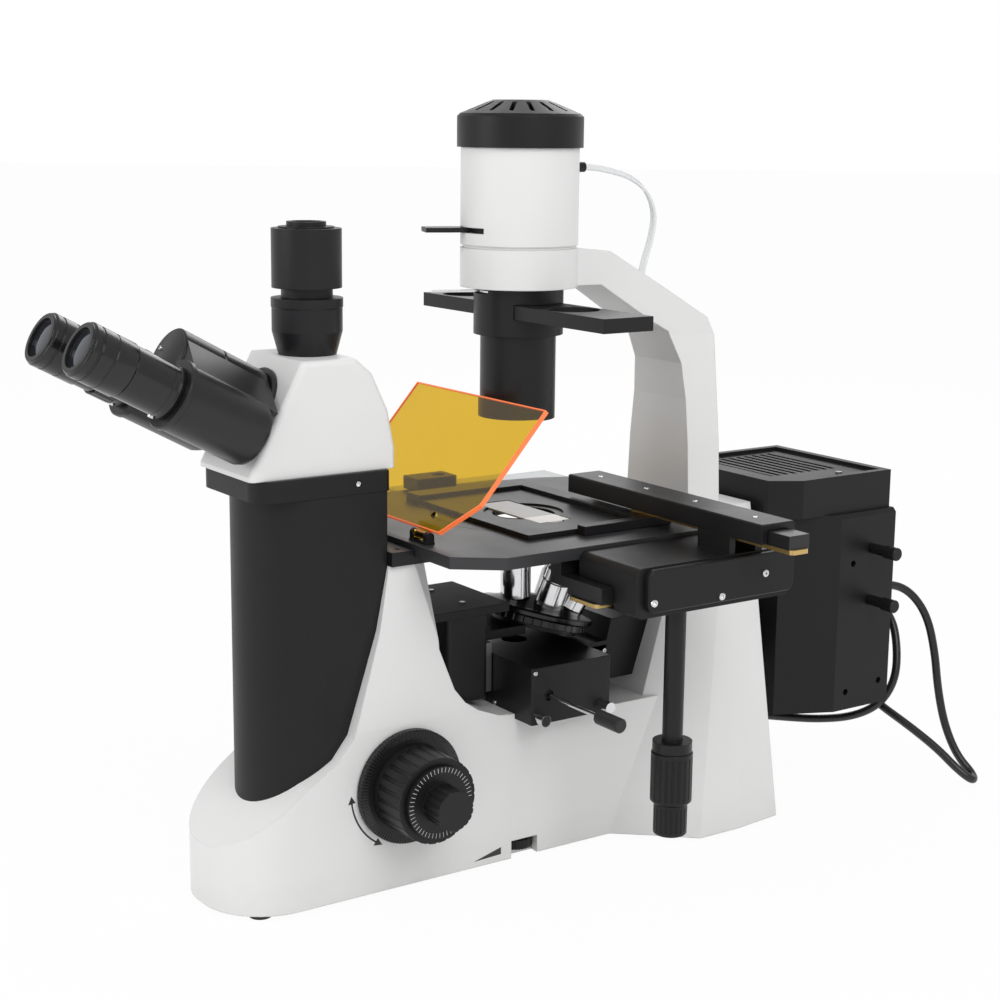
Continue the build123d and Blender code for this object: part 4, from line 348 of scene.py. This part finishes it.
def powder_paint(name, light, dark, peel):
    """White powder paint: slow random changes of tone, a patchy darker, browner tone in the lowest 30 mm
    towards the bench, orange peel.
    """
    # Within this height of the bench the paint is darkened in patches towards a browner grey, strongest at
    # the bench.
    bench_band_height = 0.03
    bench_tone = (0.52, 0.50, 0.47)
    paint = Finish(name)
    tone = paint.mix(paint.noise(9, 3), dark, light)
    rise = paint.node("ShaderNodeMapRange", None,
                      {"Value": paint.axis(2), "From Min": 0.0, "From Max": bench_band_height})
    tone = paint.mix((1 - rise) * 0.25 * paint.noise(60, 4), tone, bench_tone)
    return paint.surface(tone, 0.30 + 0.12 * paint.noise(40, 3),
                         normal=paint.relief(paint.noise(520, 2), peel, 0.0012), Specular_IOR_Level=0.45)


white_paint = powder_paint("white_paint", light=(0.83, 0.83, 0.825), dark=(0.80, 0.80, 0.795), peel=0.00004)
wear(white_paint, "base_frame", "lamp_arm", "head_body", "lamp_housing")

# Bottom plate, focus carriage and feet. The plate and the carriage are bare steel with a drawn grain,
# and the five feet are moulded rubber, screwed on from below.
steel = Finish("plate_steel")
plate_steel = steel.surface(steel.mix(steel.noise(60, 4), (0.35, 0.35, 0.35), (0.5, 0.5, 0.5)), 0.4, 1.0,
                            steel.relief(steel.noise(800, 2, (1, 12, 1)), 0.00002))
wear(plate_steel, "base_plate", "focus_carriage")
rubber = Finish("foot_rubber")
foot_rubber = rubber.surface(rubber.mix(rubber.noise(300, 3), (0.012, 0.012, 0.012), (0.03, 0.029, 0.028)),
                             0.75, normal=rubber.relief(rubber.noise(1500, 2), 0.00006))
wear(foot_rubber, "rubber_feet")


# Black painted parts: the column, the head plate, the drive box and the rear lamp house.
# Fine-textured black paint over aluminium, a little greyer where hands and dust reach it.
def black_finish(name, dark, light, roughness, grain_scale, grain_depth, **more):
    """A black skin: dark and light are mixed by slow noise, the grain is fine relief, and edges shine
    as if rounded."""
    edge = 0.0007
    skin = Finish(name)
    cloud = skin.noise(35, 4)
    fine = skin.noise(grain_scale, 2)
    return skin.surface(skin.mix(cloud * 0.6 + fine * 0.4, dark, light), roughness + 0.14 * cloud,
                        normal=skin.relief(fine, grain_depth, edge), **more)


black_paint = black_finish("black_paint", dark=(0.006, 0.006, 0.007), light=(0.012, 0.012, 0.013),
                           roughness=0.38, grain_scale=1900, grain_depth=0.00007, Specular_IOR_Level=0.28)
wear(black_paint, "column_cover", "head_plate", "drive_box", "drive_cover", "rear_lamp_house",
     "focus_housing", "stage_clamp", "shield_clamp")

# Binocular head: prism housings in satin black paint, and eyepieces and dioptre ring in black lacquer
# over turned brass, which shines more.
satin_black = black_finish("satin_black", dark=(0.008, 0.008, 0.009), light=(0.016, 0.016, 0.018),
                           roughness=0.26, grain_scale=900, grain_depth=0.00003, Specular_IOR_Level=0.45)
wear(satin_black, "left_prism_housing", "right_prism_housing", "hinge_hub")
gloss_black = black_finish("gloss_black", dark=(0.006, 0.006, 0.007), light=(0.012, 0.012, 0.013),
                           roughness=0.14, grain_scale=500, grain_depth=0.00001, Specular_IOR_Level=0.5)
wear(gloss_black, "left_eyepiece", "right_eyepiece", "dioptre_ring")

# Turned and milled aluminium, black anodised: photo tube, adapter, condenser, filter block, nosepiece
# arm, stage bracket, specimen holder and the hanging shaft.
anodised = black_finish("anodised", dark=(0.006, 0.006, 0.007), light=(0.012, 0.012, 0.014),
                        roughness=0.32, grain_scale=2600, grain_depth=0.00003, Specular_IOR_Level=0.32)
wear(anodised, "photo_tube", "c_mount_adapter", "condenser_body", "condenser_tube", "filter_block",
     "nosepiece_arm", "stage_bracket", "x_bar", "holder_frame", "slide_insert", "stage_shaft")

# Stage plate and its round insert. Flat ground aluminium, hard anodised, so it is greyer than the rest
# and mirrors softly at a low angle.
stage_black = black_finish("stage_black", dark=(0.022, 0.022, 0.024), light=(0.036, 0.036, 0.039),
                           roughness=0.36, grain_scale=2600, grain_depth=0.00003, Specular_IOR_Level=0.5)
wear(stage_black, "stage_plate", "stage_insert")

# Knobs, levers and lamp cap. Moulded or painted black parts that a hand holds, and the turret, whose
# dome is polished black.
moulded_black = black_finish("moulded_black", dark=(0.006, 0.006, 0.006), light=(0.012, 0.012, 0.012),
                             roughness=0.32, grain_scale=1400, grain_depth=0.00004, Specular_IOR_Level=0.3)
wear(moulded_black, "lamp_cap", "field_lever", "phase_slider", "y_knob", "x_knob", "coarse_knobs",
     "brightness_wheel", "upper_centering_knob", "lower_centering_knob", "cable_glands")
turret_black = black_finish("turret_black", dark=(0.006, 0.006, 0.007), light=(0.010, 0.010, 0.011),
                            roughness=0.14, grain_scale=700, grain_depth=0.00001)
wear(turret_black, "turret")

# Bright metal. The objectives, the aperture lever and the screws are chrome plated and polished,
# and the stage's left extension is bead-blasted aluminium.
bright = Finish("chrome")
chrome = bright.surface(bright.mix(bright.noise(90, 3), (0.62, 0.62, 0.63), (0.78, 0.78, 0.79)),
                        0.10 + 0.10 * bright.noise(500, 2, (1, 1, 6)), 1.0,
                        bright.relief(bright.noise(700, 2), 0.000008, 0.0003))
wear(chrome, "objectives", "aperture_lever", "case_screws")
pale = Finish("pale_aluminium")
pale_aluminium = pale.surface(pale.mix(pale.noise(70, 3), (0.46, 0.48, 0.485), (0.54, 0.56, 0.565)),
                              0.36, 0.3, pale.relief(pale.noise(1500, 2), 0.00002, 0.0005))
wear(pale_aluminium, "stage_extension")

# Lenses and the shield's plate. Clear optical glass, and cast orange acrylic that is a shade deeper
# in places.
clear = Finish("clear_glass")
clear_glass = clear.surface(clear.mix(clear.noise(20, 2), (0.93, 0.96, 0.95), (0.97, 0.99, 0.98)), 0.03,
                            Transmission_Weight=1.0, IOR=1.5)
wear(clear_glass, "lamp_optics")
amber = Finish("orange_acrylic")
orange_acrylic = amber.surface(amber.mix(amber.noise(15, 2), (0.72, 0.44, 0.003), (0.76, 0.47, 0.004)), 0.03,
                               Transmission_Weight=1.0, IOR=1.49)
wear(orange_acrylic, "light_shield")

# Rim of the shield. Cut acrylic carries light to its edges, so the sawn edge glows orange-red: a painted
# glow, given by a deeper orange-red colour and a faint emission on a thin frame round the plate, in the plane
# of the plate at rest, which rides with it.
rim_corners = [(-78, 0), (58, 0), (80, 27), (80, 104), (-78, 104)]
rim_inner = [(-77.2, 0.8), (57.6, 0.8), (79.2, 27.3), (79.2, 103.2), (-77.2, 103.2)]
rim_lift = 0.05
rim_growth = 1.0006
rim_middle = 50
plate_thickness = 3.0
shield_slope = radians(48.5)
shield_foot = np.array([0, -100, 243.5])
shield_up = np.array([0, cos(shield_slope), sin(shield_slope)])
shield_out = np.array([0, -sin(shield_slope), cos(shield_slope)])
rightward = np.array([1, 0, 0])


def framed(outline, inner, low, high):
    """A flat frame in the shield's plane: two outlines, each at a low and a high level of the plate.
    The four rings lie side by side in each row of the grid, and the first closes it."""
    rings = []
    for corners, level in ((inner, low), (outline, low), (outline, high), (inner, high)):
        flat = np.array(corners, float)
        rings.append(shield_foot + flat[:, :1] * rightward + flat[:, 1:] * shield_up + level * shield_out)
    return np.stack([*rings, rings[0]], axis=1).reshape(-1, 3) / 1000, len(rings) + 1


rim_outer = [(x * rim_growth, v + rim_lift * (1 if v > rim_middle else -1)) for x, v in rim_corners]
rim_points, rim_columns = framed(rim_outer, rim_inner, -rim_lift, plate_thickness + rim_lift)
rim_faces = [face[::-1] for face in grid_faces(len(rim_corners), rim_columns, False)]
last_row = (len(rim_corners) - 1) * rim_columns
rim_faces += [(last_row + k, k, k + 1, last_row + k + 1) for k in range(rim_columns - 1)]
glow = Finish("painted_edge_glow")
# Painted glow: a deep orange-red colour and a faint orange-red emission on the rim stand in for the light at
# the edge.
painted_edge_glow = glow.surface(glow.mix(glow.noise(60, 2), (0.86, 0.16, 0.04), (0.96, 0.26, 0.07)), 0.25,
                           Emission_Color=(1.0, 0.16, 0.05, 1), Emission_Strength=0.35)
piece("shield_rim", rim_points, rim_faces, painted_edge_glow, "shield", 30)


# Eyepieces. Black lacquered barrels over brass, wider than their tubes, with a stepped rim, a groove
# round the middle and a coated lens deep in the mouth. A sleeve and a skin dress each tube.
def turned(profile, columns=48):
    """A surface of revolution about z. Each row of the profile is a height and a radius in
    millimetres, and may end with a number of flats; a radius of 0 closes a pole."""
    angle = np.linspace(0, 2 * pi, columns, endpoint=False)
    rings = []
    for height, radius, *flats in profile:
        reach = np.full(columns, float(radius))
        if flats:
            step = 2 * pi / flats[0]
            reach = radius * cos(step / 2) / np.cos(np.mod(angle, step) - step / 2)
        rings.append(np.stack([reach * np.cos(angle), reach * np.sin(angle),
                               np.full(columns, float(height))], axis=1))
    return np.concatenate(rings) / 1000, grid_faces(len(profile), columns)


def standing(points, place, direction):
    """Points in metres whose z is turned to a direction, moved to a place in millimetres."""
    turn = Vector((0, 0, 1)).rotation_difference(Vector(direction).normalized()).to_matrix()
    return points @ np.array(turn).T + np.array(place) / 1000


def turned_piece(name, profile, place, direction, material, body, columns=48, crease=35):
    """A turned surface that stands at a place, in millimetres, with its z along a direction."""
    points, faces = turned(profile, columns)
    return piece(name, standing(points, place, direction), faces, material, body, crease)


def screw(name, place, direction, radius, body, flats=6):
    """A button-head screw: rounded rim, flat face and a socket with flats."""
    high = 0.55 * radius
    profile = [(-0.3, 0), (-0.3, radius), (high * 0.5, radius), (high * 0.85, radius * 0.9),
               (high, radius * 0.72), (high, radius * 0.48, flats), (high * 0.2, radius * 0.46, flats),
               (high * 0.2, 0)]
    turned_piece(name, profile, place, direction, chrome, body, 36)


eye_tilt = radians(28.5)
eye_axis = np.array([0, -cos(eye_tilt), sin(eye_tilt)])
eye_rise = np.array([0, sin(eye_tilt), cos(eye_tilt)])
pivot = np.array([0, -203.6, 331.4])
eye_across = 30.0
eye_drop = 21.48
tube_radius = 16.9
skin_end = 103.6
barrel_profile = [(104.0, 16.4), (104.0, 17.4), (104.6, 17.6), (117.0, 17.6), (117.3, 17.2), (118.3, 17.2),
                  (118.6, 17.6), (127.0, 17.6), (127.4, 17.0), (128.4, 17.0), (128.8, 17.6),
                  (132.6, 17.6), (133.6, 17.0), (134.6, 15.2), (134.6, 14.2), (132.4, 13.4),
                  (129.0, 12.8), (129.0, 12.6)]
lens_profile = [(131.6, 13.4), (132.2, 12.0), (133.0, 7.0), (133.3, 0)]
sleeve_profile = [(70.0, 15.0), (70.0, 17.2), (71.0, 17.6), (73.0, 17.6), (73.6, tube_radius),
                  (77.4, tube_radius), (77.4, 15.0)]
coat = Finish("coated_lens")
coated_lens = coat.surface(coat.mix(coat.noise(30, 2), (0.006, 0.010, 0.018), (0.014, 0.020, 0.034)), 0.04,
                           Coat_Weight=0.6, Specular_IOR_Level=0.7)


def eye_foot(side):
    """The point of the facet where one eyepiece's axis leaves it."""
    return pivot + side * eye_across * rightward - eye_drop * eye_rise


# The left tube's skin starts above the dioptre ring, the right one's at the sleeve
for side, word, skin_start in ((1, "right", 77.4), (-1, "left", 92.4)):
    eye = eye_foot(side)
    head = word + "_head"
    skin_profile = [(skin_start, 15.0), (skin_start, tube_radius), (103.2, tube_radius), (skin_end, 16.4),
                    (skin_end, 15.0)]
    turned_piece(word + "_barrel", barrel_profile, eye, eye_axis, gloss_black, head,
                 columns=96, crease=30)
    turned_piece(word + "_eye_lens", lens_profile, eye, eye_axis, coated_lens, head, columns=64)
    for part, profile in (("_tube_sleeve", sleeve_profile), ("_tube_skin", skin_profile)):
        turned_piece(word + part, profile, eye, eye_axis, gloss_black, head,
                     columns=96, crease=30)
    screw(word + "_tube_screw", eye + 74.8 * eye_axis - 17.0 * eye_rise, -eye_rise, 2.4, head)
    screw(word + "_top_screw", eye + 42 * eye_axis + 22.0 * eye_rise, eye_rise, 1.6, head)

# Prism housings of the butterfly head. Two cast barrels, each with a raised lip round its tube, a web to
# the hinge and its half of the knuckle; a round black hub plate lies under them on the white facet.
eye_reach = 36.9
eye_slope = radians(-35.6)
knuckle_radius = 20.0
knuckle_bore = 6.2
knuckle_top = 68.0
hinge_clear = 20.4
limit_angle = radians(67)
limit_gap = 0.4
hub_profile = [(0.1, 0), (0.1, 23.2), (2.6, 23.2), (3.4, 22.2), (3.4, 0)]
prism_profile = [(4.2, 0), (4.2, 15.0), (8.0, 20.4), (12.0, 22.0), (66.0, 22.0), (66.4, 22.9), (69.2, 22.9),
                 (70.0, 22.2), (70.0, 0)]
turned_piece("hub_plate", hub_profile, pivot, eye_axis, satin_black, "base",
             columns=96, crease=30)


def web(side, near_half, far_half, low, high):
    """A flat-sided block from the hinge to a barrel: its four corners in the facet's plane, once at
    the low and once at the high level along the axis. It is near_half wide each way at the hinge."""
    out = side * cos(eye_slope) * rightward + sin(eye_slope) * eye_rise
    across = -side * sin(eye_slope) * rightward + cos(eye_slope) * eye_rise
    corners = np.array([near_half * across, eye_reach * out + far_half * across,
                        eye_reach * out - far_half * across, -near_half * across])
    points = np.concatenate([pivot + corners + level * eye_axis for level in (low, high)])
    return points / 1000, [(3, 2, 1, 0), (4, 5, 6, 7), (0, 1, 5, 4), (1, 2, 6, 5), (2, 3, 7, 6), (3, 0, 4, 7)]


def own_sector(points, side, clear=0.0):
    """Points in metres kept beyond their half's limit plane, and at least a clear radius off the
    hinge: what lies before the plane is moved square onto it, and what is too near out along its spoke."""
    inward = side * sin(limit_angle) * rightward + cos(limit_angle) * eye_rise
    flat = points * 1000 - pivot
    flat = flat + np.maximum(limit_gap - flat @ inward, 0)[:, None] * inward
    spoke = flat[:, :1] * rightward + (flat @ eye_rise)[:, None] * eye_rise
    reach = np.maximum(np.linalg.norm(spoke, axis=1), 0.001)
    flat = flat + (np.maximum(clear - reach, 0) / reach)[:, None] * spoke
    return (flat + pivot) / 1000


for side, word, knuckle_low, knuckle_high, web_sizes in (
        (1, "right", 37.2, knuckle_top, (19.4, 21.8, 4.6, 66.8)),
        (-1, "left", 4.2, 36.8, (9.0, 13.0, 4.6, 62.0))):
    head = word + "_head"
    points, faces = turned(prism_profile, 96)
    points = own_sector(standing(points, eye_foot(side), eye_axis), side, hinge_clear)
    barrel = piece(word + "_prism_barrel", points, faces, satin_black, head, 30)
    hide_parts(word + "_prism_housing")
    knuckle_profile = [(knuckle_low, knuckle_bore), (knuckle_low, knuckle_radius - 0.8),
                       (knuckle_low + 0.8, knuckle_radius), (knuckle_high - 0.8, knuckle_radius),
                       (knuckle_high, knuckle_radius - 0.8), (knuckle_high, knuckle_bore),
                       (knuckle_low, knuckle_bore)]
    turned_piece(word + "_knuckle", knuckle_profile, pivot, eye_axis, satin_black, head,
                 columns=96, crease=30)
    points, faces = web(side, *web_sizes)
    piece(word + "_web", own_sector(points, side), faces, satin_black, head, 30)

# Cap of the knuckle. The right housing's knuckle is the outer one, and a round plate on three screws
# closes it.
cap_profile = [(knuckle_top - 0.4, 19.0), (knuckle_top + 0.4, 17.6), (knuckle_top + 0.8, 0)]
cap_screw_circle = 13
cap_screw_seat = knuckle_top + 0.6
turned_piece("knuckle_cap", cap_profile, pivot, eye_axis, satin_black, "right_head",
             columns=96, crease=30)
for turn in (-20, 25, 70):
    spot = -cos(radians(turn)) * rightward - sin(radians(turn)) * eye_rise
    screw("knuckle_screw_%d" % turn, pivot + cap_screw_seat * eye_axis + cap_screw_circle * spot, eye_axis,
          1.5, "right_head")


# Illuminator behind the filter block. A folded black box under the turret, whose right side has a
# bevelled lower corner and a white adjusting dot.
def slab(outline, low, high):
    """A flat plate that is square to x: an outline of (y, z) corners in millimetres, at two levels of x."""
    count = len(outline)
    points = np.array([(x, y, z) for x in (low, high) for y, z in outline]) / 1000
    sides = [(k, (k + 1) % count, count + (k + 1) % count, count + k) for k in range(count)]
    return points, [list(range(count))[::-1], list(range(count, 2 * count)), *sides]


box_half = 27.0
box_side = [(34, 112), (34, 141.2), (62, 141.2), (66, 157), (112, 157), (112, 128), (100, 112)]
dot_profile = [(0, 0), (0, 4.2), (0.6, 4.2), (0.9, 3.9), (0.9, 0)]
box_points, box_faces = slab(box_side, -box_half, box_half)
piece("illuminator_box", box_points, box_faces, black_paint, "base", 30)
dot = Finish("white_dot")
white_dot = dot.surface(dot.mix(dot.noise(300, 2), (0.84, 0.84, 0.84), (0.92, 0.92, 0.92)), 0.4)
turned_piece("adjusting_dot", dot_profile, (box_half, 98.4, 120), (1, 0, 0), white_dot, "base",
             columns=40)
screw("illuminator_screw", (box_half, 60, 134), (1, 0, 0), 1.8, "base")

# Lip of the turret. A polished black rim that runs round the crown's edge, below the objectives, and
# turns with it.
turret_tilt = radians(16)
turret_centre = (0, 20.7, 170)
turret_axis = np.array([0, sin(turret_tilt), cos(turret_tilt)])
lip_profile = [(-9.5, 38.0), (-8.0, 40.6), (-5.5, 41.2), (-4.2, 40.6), (-3.4, 38.4), (-3.4, 34.0)]
turned_piece("turret_lip", lip_profile, turret_centre, turret_axis, turret_black, "revolver",
             columns=96, crease=30)

# Screws that show on the castings and covers. Button heads of plated steel, each at its place in
# millimetres, with its direction, its radius and the body that it rides on.
cover_places = [(175, -16, 212), (175, 40, 209), (175, 77, 219.6)]
shown_screws = [*[(place, (1, 0, 0), 2.6, "y_carriage") for place in cover_places],
                ((70, -31.5, 142), (1, 0, 0), 1.6, "base"),
                ((25.8, -34, 110.5), (0, -1, 0), 1.8, "base"),
                ((41, -152, 280), (1, 0, 0), 1.9, "base"),
                *[((x, 64, 258.6), (0, 0, 1), 1.9, "y_carriage") for x in (14, 66, 118, 178)]]
for number, (place, direction, radius, body) in enumerate(shown_screws):
    screw("screw_%d" % number, place, direction, radius, body, 6 if number % 2 else 4)

# Filter slider. A bright rod that slides through the filter block, with a black grooved knob on its
# right end.
knob_start = 0.1268
groove_pace = 3600
rod = Finish("rod_and_knob")
knob_part = rod.axis(0) > knob_start
rod_rings = (rod.axis(0) * groove_pace).sine()
rod_and_knob = rod.surface(rod.mix(knob_part, (0.72, 0.72, 0.73), (0.012, 0.012, 0.012)),
                           0.16 + 0.22 * knob_part, 1 - knob_part, rod.relief(rod_rings * knob_part, 0.0005))
wear(rod_and_knob, "filter_slider")


# Rails of the mechanical stage. Black anodised bars whose lowest strip is a brass rack, with fine
# marks a millimetre apart.
def racked(name, along, level):
    """A black rail, brass below a level of z in metres, with marks that run along one axis."""
    mark_pace = 6283
    mark_share = 0.93
    skin = Finish(name)
    strip = skin.axis(2) < level
    fine = skin.noise(900, 2)
    mark = (skin.axis(along) * mark_pace).sine() > mark_share
    brass = skin.mix(mark * 0.8, (0.60, 0.42, 0.16), (0.10, 0.07, 0.03))
    return skin.surface(skin.mix(strip, (0.009, 0.009, 0.010), brass), 0.34 - 0.06 * strip, strip * 0.85,
                        skin.relief(fine, 0.00002, 0.0004))


wear(racked("x_rail_brass", along=0, level=0.24601), "x_rail")
wear(racked("y_rail_brass", along=1, level=0.20699), "y_rail")

# Slide in the specimen holder. Ground glass, 76 mm by 26 mm, with a white writing field at its right end.
field_start = 0.0275
ground = Finish("ground_slide")
field = ground.axis(0) > field_start
ground_slide = ground.surface(ground.mix(field, (0.46, 0.46, 0.46), (0.86, 0.86, 0.85)), 0.22 + 0.2 * field,
                              normal=ground.relief(ground.noise(1500, 2), 0.00001), Coat_Weight=0.4)
wear(ground_slide, "glass_slide")

# Focus knobs. The fine knob's dial has fifty white ticks engraved round its rim, and the tension ring
# has fine ribs on its face.
focus_y = -121
focus_z = 75
dial_ticks = 50
dial_face = 0.0915
tick_inner = 0.0205
tick_outer = 0.0238
tick_share = 0.93
ring_ribs = 110
rib_inner = 0.0335


def about_focus(finish):
    """The angle and the radius of a point about the focus axis."""
    forward = finish.axis(1) - focus_y / 1000
    rise = finish.axis(2) - focus_z / 1000
    angle = finish.maths("ARCTAN2", rise, forward)
    radius = finish.maths("POWER", forward * forward + rise * rise, 0.5)
    return angle, radius


dial = Finish("ticked_dial")
dial_angle, dial_radius = about_focus(dial)
tick_band = (dial_radius > tick_inner) * (dial_radius < tick_outer) * (dial.axis(0) > dial_face)
dial_tick = ((dial_angle * dial_ticks).sine() > tick_share) * tick_band
ticked_dial = dial.surface(dial.mix(dial_tick, (0.009, 0.009, 0.009), (0.72, 0.72, 0.72)),
                           0.30 + 0.1 * dial.noise(60),
                           normal=dial.relief(dial.noise(1400, 2), 0.00003, 0.0006),
                           Specular_IOR_Level=0.32)
wear(ticked_dial, "fine_knobs")
ring = Finish("ribbed_ring")
ring_angle, ring_radius = about_focus(ring)
rib_height = ((ring_angle * ring_ribs).sine() * 0.5 + 0.5) * (ring_radius > rib_inner)
ribbed_ring = ring.surface(ring.mix(ring.noise(60, 3), (0.006, 0.006, 0.006), (0.012, 0.012, 0.012)), 0.34,
                           normal=ring.relief(rib_height, 0.0007), Specular_IOR_Level=0.32)
wear(ribbed_ring, "tension_ring")

# Printed marks on the right side of the base, in black ink: a double arrow about the focus axis, and a
# wedge that grows towards the brightness wheel. They stand 0.1 mm proud of the wall.
print_low = 50.55
print_high = 50.7
arc_outer = 43.4
arc_inner = 42.2
ink = Finish("black_ink")
black_ink = ink.surface(ink.mix(ink.noise(200, 2), (0.015, 0.015, 0.015), (0.03, 0.03, 0.03)), 0.5)


def printed(name, outline):
    """A flat print on the base's right wall, from an outline of (y, z) corners."""
    points, faces = slab(outline, print_low, print_high)
    piece(name, points, faces, black_ink, "base", 30)


def round_focus(radius, angle):
    """The (y, z) point at a radius and an angle in radians about the focus axis."""
    return focus_y + radius * cos(angle), focus_z + radius * sin(angle)


arc_angles = np.radians(np.linspace(186, 236, 14))
printed("arc_mark", [round_focus(arc_outer, angle) for angle in arc_angles]
        + [round_focus(arc_inner, angle) for angle in arc_angles[::-1]])
for name, tip, tail in (("upper_arrow", 180, 187), ("lower_arrow", 243, 235)):
    printed(name, [round_focus(radius, radians(angle))
                   for radius, angle in ((42.8, tip), (45.6, tail), (40.0, tail))])
printed("wedge_mark", [(-67.2, 8.3), (-44.8, 9.2), (-44.8, 14.3)])
